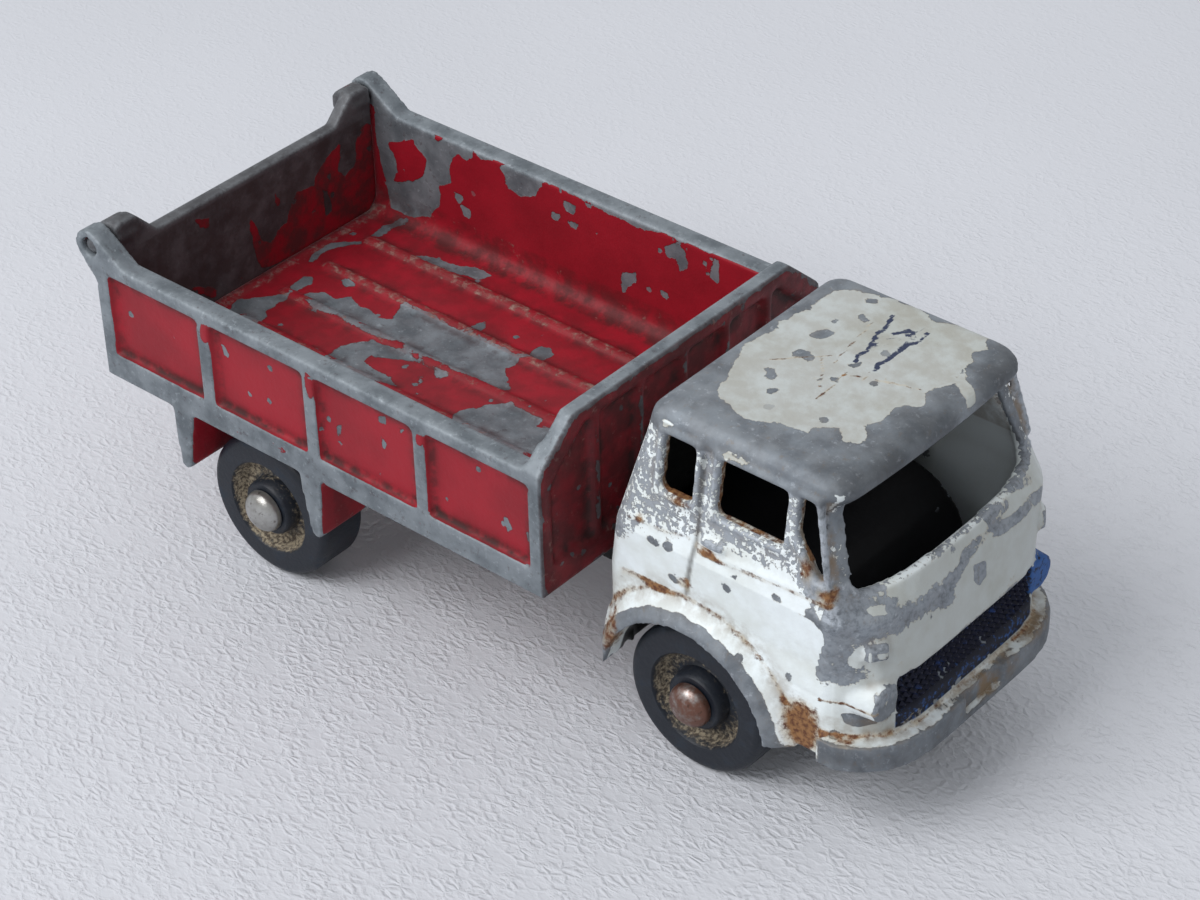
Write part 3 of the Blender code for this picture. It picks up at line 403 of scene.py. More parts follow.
# tipper bed: places are in mm, the near side is at -y
bed = {
    "grainSize": 0.00023, "soften": 1,
    "chipScale": 560, "ragged": 1.3, "grain": 0.25, "spotScale": 1150, "spots": 0.945, "toneScale": 160,
    # dark red grime: dirt in the hollows, and painted shade on the front wall's outer face; the last colour on this
    # line is painted shade too
    "paint": rgb(154, 22, 38), "faded": rgb(134, 18, 32), "grime": rgb(58, 26, 26), "gloom": rgb(40, 9, 12),
    "rim": 0.5, "rimColour": rgb(92, 22, 26), "fleck": 0.35, "pits": 0.4,
    "metal": rgb(136, 143, 149), "metalDark": rgb(102, 109, 115), "metalBright": rgb(190, 198, 204),
    "rust": rgb(154, 122, 112), "rustDark": rgb(124, 82, 78), "stain": rgb(128, 66, 64),
    "gloss": 0.48, "thick": 0.00006, "dent": 0.00005, "metalShine": 0.45, "specular": 0.32,
    "outerFace": 13.72, "panelFace": 13.0, "innerFace": 12.6, "wallY": (11.0, 13.0), "wallFoot": 12.6,
    "floorTop": 13.2, "railTop": 20.35, "railFoot": 20.0, "ear": (-29.6, 20.4), "corner": (7.5, 10.9, 14.2),
    "ribs": (-8.6, -4.3, 0, 4.3, 8.6), "ribFoot": 12.33, "ribHalf": 0.5,
    "gateLine": (-30.4, -29.2), "panelFoot": (12.6, 13.3), "frontX": 7.9,
    "panels": [
        [(-19.1, 18.3), (-18.4, 17.9), (-18.6, 17.3), (-19.1, 17.5)],
        [(-9.1, 16.4), (-8.4, 16.8), (-8.6, 15.3), (-9.0, 15.7)],
        [(-5.1, 18.7), (-4.5, 19.0), (-4.4, 18.4), (-5.0, 18.4)], [(-5.0, 17.4), (-4.5, 17.1), (-4.8, 16.4)],
        [(-3.4, 18.8), (-2.9, 18.7), (-3.2, 18.2)], [(5.2, 15.9), (5.6, 16.2), (6.0, 15.3), (5.6, 14.8), (5.4, 15.3)],
        [(7.2, 15.6), (7.7, 15.6), (7.8, 15.1), (7.3, 15.0)], [(-28.4, 17.3), (-28.0, 17.3), (-28.1, 16.9)],
    ],
    "posts": [
        ((-20.0, -13.9, 18.9), (0.6, 1, 0.9), -0.8), ((-10.5, -13.9, 18.9), (0.6, 1, 1.0), -0.8),
        ((-1.0, -13.9, 19.1), (0.5, 1, 0.5), -0.7),
    ],
    "wall": [
        [(-29.9, 22.7), (-27.3, 21.8), (-18.0, 20.8), (-18.6, 20.3), (-19.7, 20.2), (-20.3, 20.6), (-20.9, 19.4),
         (-21.8, 19.8), (-22.7, 18.3), (-22.7, 17.2), (-23.8, 16.4), (-23.9, 14.7), (-25.0, 13.5), (-26.8, 12.7),
         (-28.4, 12.6), (-29.0, 13.7), (-29.5, 15.8), (-29.9, 17.8)],
        [(-18.1, 20.2), (-16.4, 21.1), (-14.2, 21.2), (-13.9, 20.4), (-14.5, 19.1), (-16.1, 18.4), (-17.1, 18.7),
         (-17.4, 19.8)], [(-22.6, 16.5), (-21.4, 16.4), (-22.0, 15.7)],
        [(-21.8, 15.6), (-20.9, 15.5), (-21.0, 14.8), (-21.5, 14.9)],
        [(-13.0, 18.4), (-12.3, 18.4), (-12.6, 17.8), (-13.2, 17.9)],
        [(-12.0, 19.7), (-10.9, 19.6), (-11.0, 18.9), (-11.8, 18.9)],
        [(-11.7, 18.2), (-10.7, 18.3), (-10.9, 17.8), (-11.5, 17.8)], [(-10.3, 20.3), (-9.3, 20.3), (-9.6, 19.8)],
        [(-6.8, 15.8), (-5.6, 16.4), (-5.6, 15.6), (-6.4, 14.7), (-6.6, 14.1), (-6.9, 14.3)],
        [(0.2, 19.6), (0.7, 19.7), (0.5, 19.2)],
        [(-3.1, 19.5), (-2.0, 20.2), (-1.2, 19.8), (-1.0, 18.6), (-1.7, 18.0), (-2.1, 18.8), (-2.9, 18.8)],
        [(-3.7, 15.7), (-2.8, 16.0), (-2.4, 15.3), (-2.9, 15.2)],
        [(1.1, 20.2), (1.7, 20.5), (1.6, 18.4), (1.0, 18.7)],
    ],
    "wallTop": [(-18.0, 20.8), (-13.7, 20.5), (-9.2, 20.3), (-4.8, 20.1), (-3.2, 20.4), (0.3, 20.5), (5.2, 20.8)],
    "wallRed": [
        [(-28.8, 18.2), (-27.5, 18.6), (-26.1, 19.6), (-25.9, 18.8), (-24.9, 18.2), (-25.3, 16.8), (-26.7, 15.7),
         (-28.3, 15.1), (-28.0, 16.1), (-28.2, 17.5)], [(-24.1, 20.7), (-22.9, 20.8), (-23.7, 20.0), (-24.1, 20.1)],
    ],
    "floor": [
        [(-26.4, -0.2), (-25.9, 1.1), (-25.2, 1.7), (-24.0, 1.6), (-23.4, 2.5), (-22.1, 1.9), (-21.3, 2.1),
         (-20.1, 1.7), (-19.2, 2.2), (-19.5, 3.3), (-20.2, 4.4), (-18.1, 4.2), (-14.4, 4.1), (-14.1, 5.4),
         (-13.9, 6.0), (-13.2, 5.3), (-13.3, 4.4), (-9.3, 4.2), (-8.9, 4.8), (-9.0, 5.8), (-8.3, 6.3), (-7.6, 5.8),
         (-7.6, 4.7), (-8.8, 3.8), (-8.8, 2.5), (-7.2, 0.9), (-7.3, 0.3), (-11.4, -0.2), (-16.6, -0.3),
         (-23.5, -0.5)],
        [(-19.4, -5.0), (-19.6, -2.3), (-18.3, -0.6), (-15.7, -0.1), (-11.3, -0.3), (-11.7, -1.1), (-12.5, -0.6),
         (-14.2, -0.7), (-15.6, -1.3), (-17.1, -2.0), (-17.2, -2.9), (-14.4, -3.1), (-13.2, -3.5), (-14.7, -5.0)],
        [(-8.1, -3.6), (-7.8, -2.6), (-7.0, -1.3), (-5.9, -0.2), (-4.1, -0.4), (-2.8, -0.2), (-3.0, -1.3),
         (-1.5, -0.5), (0.6, -5.0), (-7.0, -5.4)],
        [(-29.2, -2.8), (-28.5, -1.8), (-27.1, -0.2), (-27.4, 0.8), (-27.8, 2.2), (-27.1, 2.7), (-26.7, 1.9),
         (-27.0, 0.8), (-26.5, -0.3), (-26.8, -1.4), (-26.6, -2.6), (-25.4, -5.0), (-28.5, -5.0)],
        [(-23.5, 9.1), (-22.9, 9.8), (-20.1, 10.0), (-19.1, 10.7), (-17.5, 10.6), (-17.7, 9.7), (-18.7, 9.4),
         (-20.6, 9.1), (-22.3, 8.6)],
        [(-27.8, 9.0), (-28.2, 10.8), (-27.4, 12.0), (-26.8, 11.7), (-27.4, 10.8), (-27.2, 9.5)],
        [(-28.9, 3.8), (-29.4, 4.9), (-29.4, 6.6), (-28.2, 7.9), (-27.7, 8.0), (-28.8, 6.3), (-29.1, 5.1),
         (-28.7, 4.0)], [(-13.0, -1.9), (-12.7, -1.4), (-12.2, -2.1), (-12.3, -2.5)],
        [(-25.5, 3.5), (-24.9, 4.0), (-24.2, 3.6), (-24.6, 3.1)],
    ],
}
tipper = castCopy("tipperBedCasting", "tipper_bed", bed)
p, n, bend = surface(tipper)
x, y, z = p.T
side, up = np.abs(y), n[:, 2] > 0.6
earX, earZ = bed["ear"]
cornerX, cornerY, cornerZ = bed["corner"]
onWall = (n[:, 1] < -0.4) & between(y, *bed["wallY"]) & (z > bed["wallFoot"])
onFloor = up & (z < bed["floorTop"])
onPanel = between(side, bed["panelFace"], bed["outerFace"]) & (np.abs(n[:, 1]) > 0.8)
rib = onFloor & (z > bed["ribFoot"]) & (np.abs(y[:, None] - bed["ribs"]).min(1) < bed["ribHalf"])
corner = (z < cornerZ) & between(side, cornerY, bed["innerFace"]) & (x < cornerX)
# the front wall's outer face, towards the cab, is darkened as painted shade
shaded = (n[:, 0] > 0.5) & (x > bed["frontX"])
# rails, posts and edges are bare, then walls, floor and panels as drawn
wear = 0.06 + np.clip(bend * 22, 0, 0.75) + 0.66 * (side > bed["outerFace"])
wear += 0.8 * (up & (z > bed["railTop"])) + 0.6 * ((x < earX) & (z > earZ))
wear += 0.5 * band(z, bed["railFoot"], 30, 0.8) * (side < bed["innerFace"]) * (x < 8)
worn = np.maximum(inAny(x, z, bed["wall"]), z - np.interp(x, *np.array(bed["wallTop"]).T))
worn = np.minimum(worn, -inAny(x, z, bed["wallRed"]))
wear = np.where(onWall, 0.5 + np.clip(worn / 0.7, -0.46, 0.3), wear)
wear = np.where(onFloor, 0.5 + np.clip(inAny(x, y, bed["floor"]) / 0.8, -0.44, 0.3), wear)
wear = np.where(onPanel, 0.5 + np.clip(inAny(x, z, bed["panels"]) / 0.6, -0.44, 0.3), wear)
# dried dust on the ribs, in corners and under the panels
dust = (0.35 - 0.1 * (y < 2)) * rib + 0.14 * corner + 0.16 * shaded
dust += 0.3 * onFloor * band(x, *bed["gateLine"], 0.4) + 0.3 * onPanel * band(z, *bed["panelFoot"], 0.3)
dust += 0.2 * unit(-bend * 20) * (side > bed["panelFace"])
# painted shade: the front wall's outer face darkened, through both the shade attribute and the dirt attribute
setAttributes(
    tipper, wear=wear + patches(p, bed["posts"]) - 0.2 * rib, rust=dust,
    edge=np.clip(bend * 9, 0, 0.8), gloom=0.5 * shaded,
    dirt=unit(-bend * 42) + 0.2 * onFloor + 0.6 * shaded + 0.3 * corner)
tipper.data.materials.append(chippedPaint("redEnamel", bed))
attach(tipper, "bed")
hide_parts("tipper_bed")
print("stage: tipper bed", len(tipper.data.polygons))

# tailgate: its bare metal and grime are darker than the bed's, as painted shade
gate = dict(
    bed, grainSize=0.00017, spots=0.93, fleck=0.15, lipZ=20.2,
    metal=rgb(104, 105, 108), metalDark=rgb(74, 73, 76), grime=rgb(54, 44, 44),
    red=[
        [(12.4, 19.6), (11.2, 19.5), (10.4, 18.8), (10.3, 17.2), (9.1, 16.5), (8.5, 17.2), (9.1, 19.4), (7.8, 19.0),
         (6.4, 17.8), (6.1, 17.0), (4.3, 17.4), (3.6, 16.7), (3.2, 15.4), (2.2, 15.3), (1.5, 14.6), (0.7, 15.0),
         (0.1, 16.7), (-0.3, 17.5), (-0.2, 15.6), (0.0, 13.9), (0.6, 12.7), (2.8, 12.3), (8.7, 12.1), (12.4, 12.3)],
        [(2.2, 18.4), (2.8, 17.5), (2.6, 16.8), (2.2, 17.5)],
        [(-5.2, 19.7), (-4.1, 19.4), (-4.0, 18.5), (-4.9, 18.8)],
        [(-6.4, 14.8), (-4.4, 13.8), (-4.0, 12.8), (-5.1, 13.5)], [(-2.0, 13.4), (-1.3, 13.3), (-1.6, 12.8)],
    ],
    bareSpot=[(6.7, 16.5), (7.3, 16.1), (7.6, 14.3), (6.9, 14.1)])
flap = castCopy("tailgateFlap", "tailgate", gate)
p, n, bend = surface(flap)
y, z = p[:, 1], p[:, 2]
inner = n[:, 0] > 0.5
worn = np.maximum(-inAny(y, z, gate["red"]), within(y, z, gate["bareSpot"]))
wear = np.where(inner, 0.5 + np.clip(worn / 0.8, -0.4, 0.4), 0.18)
wear += np.clip(bend * 22, 0, 0.8) + 0.5 * (z > gate["lipZ"])
# painted shade: the inner face darkened, through both the shade attribute and the dirt attribute
setAttributes(
    flap, wear=wear, edge=np.clip(bend * 9, 0, 0.9), gloom=0.14 * inner,
    dirt=unit(-bend * 26) + 0.7 * inner * (z < gate["lipZ"]), rust=np.zeros(len(p)))
flap.data.materials.append(chippedPaint("redEnamelGatePaintedShade", gate))
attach(flap, "tailgate")
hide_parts("tailgate")
print("stage: tailgate")

# cab
cab = {
    "grainSize": 0.0002, "soften": 2,
    "chipScale": 600, "ragged": 1.5, "grain": 0.25, "spotScale": 760, "spots": 0.93, "toneScale": 170,
    "paint": rgb(241, 249, 252), "faded": rgb(229, 236, 234), "grime": rgb(132, 112, 88),
    "rim": 0.5, "rimColour": rgb(176, 168, 152), "fleck": 0.45, "pits": 0.3,
    "metal": rgb(138, 145, 152), "metalDark": rgb(104, 110, 117), "metalBright": rgb(190, 197, 206),
    "rust": rgb(146, 106, 68), "rustDark": rgb(92, 55, 37), "stain": rgb(198, 182, 152),
    # the dull colours are greyer paint: painted shade on the nose, greyed paint on the roof; the last colour on the
    # next line is painted shade
    "dull": rgb(182, 187, 185), "dullDark": rgb(168, 171, 164),
    "second": rgb(15, 19, 36), "secondLight": rgb(44, 88, 150), "ink": rgb(40, 50, 78), "gloom": rgb(34, 34, 34),
    "gloss": 0.38, "thick": 0.00007, "dent": 0.00005, "metalShine": 0.4, "specular": 0.35,
    "sideZ": [13.0, 17.0, 23.8], "sideHalf": [10.0, 10.6, 9.4], "rearX": 10.5, "rearLean": 0.24,
    "skin": 0.42, "wingZ": 13.0, "roofZ": 24.3, "topZ": 25.5, "ceiling": 25.15, "pillarZ": 18.4,
    "jambX": (14.3, 27.9), "jambZ": (19.2, 24.6), "faceZ": (11.0, 19.4), "frontZ": 8.6, "frontX": 29.0,
    "bumperTop": 8.35, "bumperX": 27.2, "flareFrom": 10.72, "flankFrom": 9.5, "arch": (17.5, 5.26),
    "lamp": (8.07, 10.9), "nearLampSize": 1.3, "farLampSize": 1.5,
    "grilleHalf": 7.05, "grilleZ": (9.2, 12.5), "ledgeHalf": 7.2, "ledgeZ": (8.5, 9.6), "ledgeLit": 9.3,
    "fronts": [  # height, nose, bow, power and half width
        (13.0, 31.2, 3.8, 6.0, 10.0), (17.0, 30.7, 2.4, 6.0, 10.6), (18.9, 29.9, 2.2, 3.0, 10.26),
        (23.8, 27.3, 0.8, 2.2, 9.4), (24.1, 27.7, 0.4, 2.2, 9.4), (24.9, 28.4, 0.4, 2.2, 9.4),
    ],
    "rimRadius": 0.3, "beltRadius": 0.2, "shutRadius": 0.17, "creaseRadius": 0.16, "creaseZ": 10.75,
    "quarter": [(14.8, 20.4), (17.7, 20.4), (17.7, 24.6), (14.8, 24.6)],
    "door": [(19.0, 20.4), (24.5, 20.4), (24.5, 24.6), (19.0, 24.6)],
    "vent": [(26.8, 19.3), (27.7, 19.3), (26.4, 24.6), (24.9, 24.6), (24.9, 21.8)],
    "belt": [(18.4, 17.9), (20.3, 18.0), (22.5, 18.2), (25.7, 18.4), (27.9, 18.4)],
    "beltRear": [(12.6, 18.0), (15.5, 18.2), (17.6, 18.6)],
    "shut": [(17.1, 13.8), (17.5, 15.6), (17.9, 17.2), (18.1, 18.5), (18.1, 19.7), (18.0, 24.0)],
    "sidelight": (8.4, 14.8), "sidelightSize": (0.9, 1.4, 1.0), "sidelightTurn": 35,
    "handle": (19.4, 18.75), "handleSize": (1.6, 0.7, 0.4), "creaseRust": [(-10, 10.7), (-8.9, 10.75)],
    "creaseX": (24.4, 27.2), "creaseY": (9.9, 9.7, 9.4, 9.0),
    "bareLine": [
        (11.9, 16.3), (13.1, 17.1), (14.9, 18.3), (17.0, 18.5), (18.2, 19.1), (19.1, 19.5), (20.4, 19.5),
        (21.4, 19.2), (23.0, 19.4), (24.1, 19.8), (25.3, 19.3), (26.4, 18.4), (27.8, 18.2),
    ],
    "roofPaint": [
        (25.8, -4.0), (25.0, -3.2), (25.3, -2.5), (25.4, -1.8), (25.2, -0.8), (25.5, 0.0), (26.3, 0.4), (26.4, 0.7),
        (25.8, 1.6), (25.9, 2.6), (26.3, 3.3), (26.5, 3.7), (27.3, 3.2), (28.1, 2.5), (28.5, 1.9), (28.8, 2.3),
        (28.1, 3.5), (27.2, 4.0), (26.3, 4.7), (25.8, 5.6), (26.1, 6.1), (25.3, 6.7), (26.0, 7.8), (25.4, 8.3),
        (25.3, 8.9), (24.2, 9.2), (23.5, 9.2), (22.7, 8.9), (21.9, 8.2), (21.6, 8.1), (21.0, 8.5), (19.9, 8.8),
        (18.4, 8.6), (17.6, 8.2), (17.2, 8.4), (15.8, 8.1), (14.8, 7.2), (14.8, 6.6), (14.9, 5.7), (14.8, 4.9),
        (15.1, 4.5), (14.6, 3.6), (14.7, 2.7), (14.3, 2.3), (14.8, 1.6), (14.7, 1.0), (14.2, -0.9), (15.6, -4.3),
        (16.0, -5.8), (16.7, -6.4), (19.0, -7.0), (20.4, -6.4), (20.9, -6.0), (21.7, -6.0), (22.3, -5.9),
        (22.9, -5.9), (22.7, -5.5), (23.3, -4.9), (23.9, -4.5), (24.4, -4.8), (24.9, -5.2), (25.6, -5.0),
    ],
    "roofChips": [
        [(16.9, 2.3), (16.9, 2.9), (17.3, 3.4), (17.8, 3.4), (17.9, 2.9), (17.4, 2.3)],
        [(17.0, 7.6), (17.5, 8.0), (17.8, 7.8), (17.3, 7.3)],
        [(17.1, 0.2), (17.2, 0.7), (17.7, 0.8), (18.4, 0.7), (18.5, 0.0), (18.1, -0.1), (17.8, 0.1), (17.3, -0.1)],
        [(17.7, 5.8), (17.7, 6.3), (18.3, 5.9), (18.7, 5.8), (18.5, 5.5), (18.0, 5.5)],
        [(16.7, 4.4), (17.0, 4.8), (17.3, 4.3)],
        [(16.8, -2.3), (17.3, -1.9), (17.9, -2.4), (18.0, -2.9), (17.6, -3.0)],
        [(18.0, -3.8), (18.8, -3.5), (18.8, -4.0), (18.5, -4.2)],
        [(20.4, -0.5), (20.9, -0.2), (21.1, -0.7), (20.7, -0.8)],
        [(20.4, 1.1), (20.6, 1.5), (20.9, 1.8), (21.2, 1.5), (21.1, 1.0)],
        [(26.0, 4.1), (26.2, 4.4), (26.6, 3.9), (26.3, 3.7)], [(19.7, -1.3), (20.1, -0.9), (20.4, -1.3)],
    ],
    "nosePatch": [
        (-10.1, 19.2), (-11.4, 17.0), (-10.5, 12.6), (-9.7, 12.1), (-9.0, 12.0), (-8.3, 12.6), (-8.7, 13.3),
        (-9.3, 14.0), (-9.2, 15.6), (-7.8, 15.7), (-6.2, 15.8), (-3.8, 15.4), (-2.2, 15.2), (-1.4, 16.2),
        (-2.6, 17.0), (-4.7, 17.0), (-6.8, 17.4), (-7.5, 18.2), (-9.0, 18.8),
    ],
    "noseBand": [
        (-2.4, 16.6), (-1.2, 16.7), (-0.3, 17.4), (1.7, 17.5), (3.3, 17.2), (4.7, 17.1), (6.8, 17.2), (8.4, 16.6),
        (9.6, 15.6),
    ],
    "noseLines": [[(2.4, 18.2), (4.4, 18.0)], [(5.6, 18.5), (7.6, 17.9)]],
    "noseBare": [
        [(-9.0, 15.4), (-7.9, 15.3), (-7.8, 14.2), (-8.8, 14.2)],
        [(0.2, 16.3), (1.4, 16.0), (1.4, 14.9), (0.7, 14.7), (0.2, 15.3)],
        [(-9.4, 9.9), (-8.9, 10.1), (-8.5, 10.3), (-8.1, 10.1), (-8.2, 9.2), (-8.8, 9.1), (-9.3, 9.2)],
    ],
    "noseKept": [
        [(-8.8, 15.1), (-8.0, 15.0), (-8.0, 14.4), (-8.7, 14.4)],
        [(-8.7, 17.8), (-8.4, 17.9), (-7.7, 17.7), (-7.7, 17.3), (-8.5, 17.4)],
        [(-9.5, 14.4), (-9.2, 15.3), (-9.0, 15.2), (-8.9, 14.2), (-9.0, 13.6), (-9.3, 13.8)],
    ],
    "strokes": [
        [(19.4, 7.1), (19.7, 6.3), (19.9, 5.6), (19.8, 5.0), (20.1, 4.2), (20.3, 3.6), (20.5, 2.9), (20.3, 2.4),
         (20.6, 1.7)],
        [(22.2, 6.8), (22.3, 6.3), (22.3, 5.6), (22.0, 5.2), (22.0, 4.3), (22.0, 3.6), (22.0, 3.0), (21.8, 2.3),
         (22.1, 1.7)], [(20.6, 5.5), (20.9, 5.9), (21.1, 6.4), (21.5, 6.4), (21.4, 5.9)],
    ],
    "hatch": [
        [(20.5, 4.6), (21.0, 5.2), (21.5, 6.0)], [(22.0, 5.3), (21.9, 6.1), (22.2, 6.6)],
        [(20.1, 5.6), (20.7, 3.1), (21.7, 1.4)], [(21.8, 7.8), (21.7, 6.0), (21.7, 4.4), (21.6, 3.1), (21.9, 1.4)],
        [(20.4, 3.4), (21.2, 4.6), (21.4, 5.6)],
    ],
    "scratches": [
        [(21.9, 1.4), (22.2, 0.2)], [(18.9, 5.7), (19.2, 3.7), (19.5, 1.9), (19.7, 0.8)],
        [(20.8, 0.7), (20.9, -0.3), (21.1, -1.4), (21.1, -2.9)],
        [(16.4, -1.4), (17.1, -0.8), (17.5, -0.2), (18.4, 0.6), (19.2, 1.4)], [(22.6, 0.8), (23.8, 1.3), (25.4, 1.7)],
        [(20.9, 0.1), (21.8, 0.6), (22.0, 0.6)], [(18.8, 0.7), (19.8, -0.5), (20.5, -1.8)],
    ],
    "chips": [
        ((22.4, 8.9, 25.7), (1.0, 0.6, 1), 0.4), ((24.3, -10.5, 17.3), (0.5, 1, 0.4), 0.6),
        ((16.0, -10.6, 17.1), (0.5, 1, 0.5), 0.7), ((14.8, -10.6, 17.0), (0.5, 1, 0.4), 0.6),
        ((16.2, -10.2, 14.6), (0.5, 1, 0.4), 0.6), ((26.8, -10.6, 17.4), (0.4, 1, 0.4), 0.6),
        ((27.4, -10.5, 16.8), (0.4, 1, 0.5), 0.6), ((28.9, 9.0, 14.6), (1.8, 1.6, 1.8), 0.3),
        ((28.4, -9.5, 9.6), (1.2, 1.0, 0.6), 0.4), ((19.4, -10.4, 18.75), (0.8, 1, 0.25), 0.6),
        ((29.6, -8.2, 11.0), (1.2, 1.7, 1.6), -0.3), ((15.2, -9.6, 25.0), (0.9, 1, 0.35), -0.45),
        ((20.2, -9.6, 24.95), (1.9, 1, 0.3), -0.45), ((13.9, -9.7, 22.8), (0.3, 1.2, 2.6), -0.2),
        ((19.6, -9.5, 23.8), (0.3, 1, 1.0), -0.2), ((14.0, -10.5, 18.0), (1.4, 1, 0.5), -0.15),
        ((12.3, -10.4, 16.0), (0.9, 1, 1.8), 0.25),
    ],
    "caked": [((32.0, 1.0, 7.7), (1.2, 2.4, 0.9), 0.9), ((31.4, 6.4, 8.2), (1.2, 1.6, 0.5), 0.7)],
    "rustSpots": [
        ((25.9, -10.2, 8.0), (1.4, 1.5, 2.1), 0.85), ((14.1, -10.1, 13.15), (1.8, 1.2, 0.35), 0.6),
        ((19.0, -10.4, 18.1), (0.9, 1, 0.45), 0.55), ((13.8, -10.5, 18.2), (0.4, 1, 0.3), 0.5),
        ((27.7, -10.2, 18.9), (0.8, 1, 0.7), 0.6), ((26.1, -9.9, 20.0), (0.6, 1, 1.2), 0.5),
        ((16.4, -9.8, 20.4), (1.3, 1, 0.4), 0.5), ((17.0, -10.2, 14.6), (0.7, 1, 0.6), 0.5),
        ((11.7, -10.8, 8.6), (1.0, 1.5, 2.4), 0.5), ((12.0, -10.8, 12.9), (0.8, 1, 0.7), 0.4),
        ((28.6, -9.4, 8.2), (1.4, 1.0, 0.3), 0.3),
    ],
}


# half width of the cab's side at a height
def cabHalf(z):
    return np.interp(z, cab["sideZ"], cab["sideHalf"])


# where the front stands at a distance from the middle, at a height
def cabFront(y, z):
    levels = np.array([level[0] for level in cab["fronts"]])
    lines = [nose - bow * np.minimum(np.abs(y) / wide, 1) ** power for _, nose, bow, power, wide in cab["fronts"]]
    lines = np.array(lines) + np.zeros((1,) + np.shape(z))
    spot = np.clip(np.searchsorted(levels, z, "right") - 1, 0, len(levels) - 2)
    share = unit((z - levels[spot]) / (levels[spot + 1] - levels[spot]))
    low = np.take_along_axis(lines, np.asarray(spot)[None], 0)[0]
    high = np.take_along_axis(lines, np.asarray(spot)[None] + 1, 0)[0]
    return low + (high - low) * share


trims, grooves = [], []
for way in (-1, 1):
    def onFlank(line, out):
        return [(x, way * (cabHalf(z) + out), z) for x, z in line]

    for outline in ("quarter", "door", "vent"):
        trims.append(barMesh(onFlank(cab[outline], 0.0), cab["rimRadius"], True))
    for line in ("belt", "beltRear"):
        trims.append(barMesh(onFlank(cab[line], -0.08), cab["beltRadius"]))
    handleX, handleZ = cab["handle"]
    trims.append(blockMesh((handleX, way * (cabHalf(handleZ) + 0.1), handleZ), cab["handleSize"], 0))
    across, up = cab["sidelight"]
    place = (float(cabFront(across, up)), way * across, up)
    trims.append(blockMesh(place, cab["sidelightSize"], way * cab["sidelightTurn"]))
    grooves.append(barMesh(onFlank(cab["shut"], 0.08), cab["shutRadius"]))
    level = cab["creaseZ"]
    crease = [(x, way * 10.06, level) for x in cab["creaseX"]]
    crease += [(float(cabFront(y, level)) + 0.05, way * y, level) for y in cab["creaseY"]]
    grooves.append(barMesh(crease, cab["creaseRadius"]))
body = castCopy("cabCasting", "cab", cab, trims, grooves)
p, n, bend = surface(body)
x, y, z = p.T
nx, nz = n[:, 0], n[:, 2]
wide = np.abs(y)
depth = cabHalf(z) - wide
ahead = x - cabFront(y, z)
behind = x - cab["rearX"] - cab["rearLean"] * np.clip(z - cab["wingZ"], 0, None)
# where each point lies
inside = (depth > cab["skin"]) & (behind > 0.6) & (ahead < -0.5 - 0.3 * (z < cab["wingZ"]))
inside &= (z < cab["ceiling"]) & (nz < 0.9)
upperSide = ~inside & (depth < cab["skin"]) & (z > cab["wingZ"])
flank = ~inside & (wide > cab["flankFrom"])
roof = ~inside & (z > cab["roofZ"])
onTop = z > cab["topZ"]
jamb = between(depth, 0.12, 0.75) & between(z, *cab["jambZ"]) & between(x, *cab["jambX"])
pillar = ~inside & between(z, cab["pillarZ"], cab["roofZ"]) & (ahead > -1.6)
face = ~inside & between(z, *cab["faceZ"]) & (ahead > -0.6)
front = ~inside & between(z, cab["frontZ"], cab["faceZ"][1]) & (ahead > -0.9) & (nx > 0.2)
bumper = (z < cab["bumperTop"]) & (x > cab["bumperX"]) & (ahead > 0.12)
bumperLid = bumper & (nz > 0.5)
lampY, lampZ = cab["lamp"]
nearLamp = (np.hypot(y + lampY, z - lampZ) < cab["nearLampSize"]) & (x > 29.9) & (nx > 0.6)
farLamp = (np.hypot(y - lampY, z - lampZ) < cab["farLampSize"]) & (x > 29.6)
grille = (wide < cab["grilleHalf"]) & between(z, *cab["grilleZ"]) & between(ahead, -1, -0.1) & (x > cab["frontX"])
ledge = (wide < cab["ledgeHalf"]) & between(z, *cab["ledgeZ"]) & between(ahead, -0.4, 0.2) & (x > cab["frontX"])
blue = grille | farLamp | ledge
groove = nearLine(x, z, cab["shut"], 0.16) * (wide > 9.2) * ~inside
fromAxle = np.hypot(x - cab["arch"][0], z - cab["arch"][1])
roofEdge = np.minimum(within(x, y, cab["roofPaint"]), -inAny(x, y, cab["roofChips"]))
above = z - np.interp(x, *np.array(cab["bareLine"]).T)
patch = within(y, z, cab["nosePatch"])
# lost paint: edges, then the roof, the sides and the nose as drawn
wear = 0.13 + np.clip(bend * 20, 0, 0.6)
wear = np.where(roof, np.where(nz > 0.35, 0.5 - np.clip(roofEdge / 0.8, -0.45, 0.42), 0.85), wear)
sideWear = np.maximum(wear * 0.8, 0.5 + np.clip(above / 2.4, -0.42, 0.08))
wear = np.where(upperSide & ~roof, sideWear, wear)
wear += 0.5 * (pillar & (wide > 7)) + 0.75 * band(wide, cab["flareFrom"], 20, 0.3) * (z < 13.5)
wear += face * np.clip(0.36 + patch / 1.4, 0, 0.7) + 0.5 * face * nearLine(y, z, cab["noseBand"], 0.42)
wear += 0.95 * front * unit(inAny(y, z, cab["noseBare"]) * 4 + 0.6)
wear -= front * unit(inAny(y, z, cab["noseKept"]) * 5 + 0.5)
for stroke in cab["noseLines"]:
    wear += 0.45 * face * nearLine(y, z, stroke, 0.3)
wear += bumper * (0.22 + 0.55 * (nz < 0.5)) + 0.7 * nearLamp + patches(p, cab["chips"])
wear = np.where(inside, 0.02 + np.clip(bend * 8, 0, 0.3), wear)
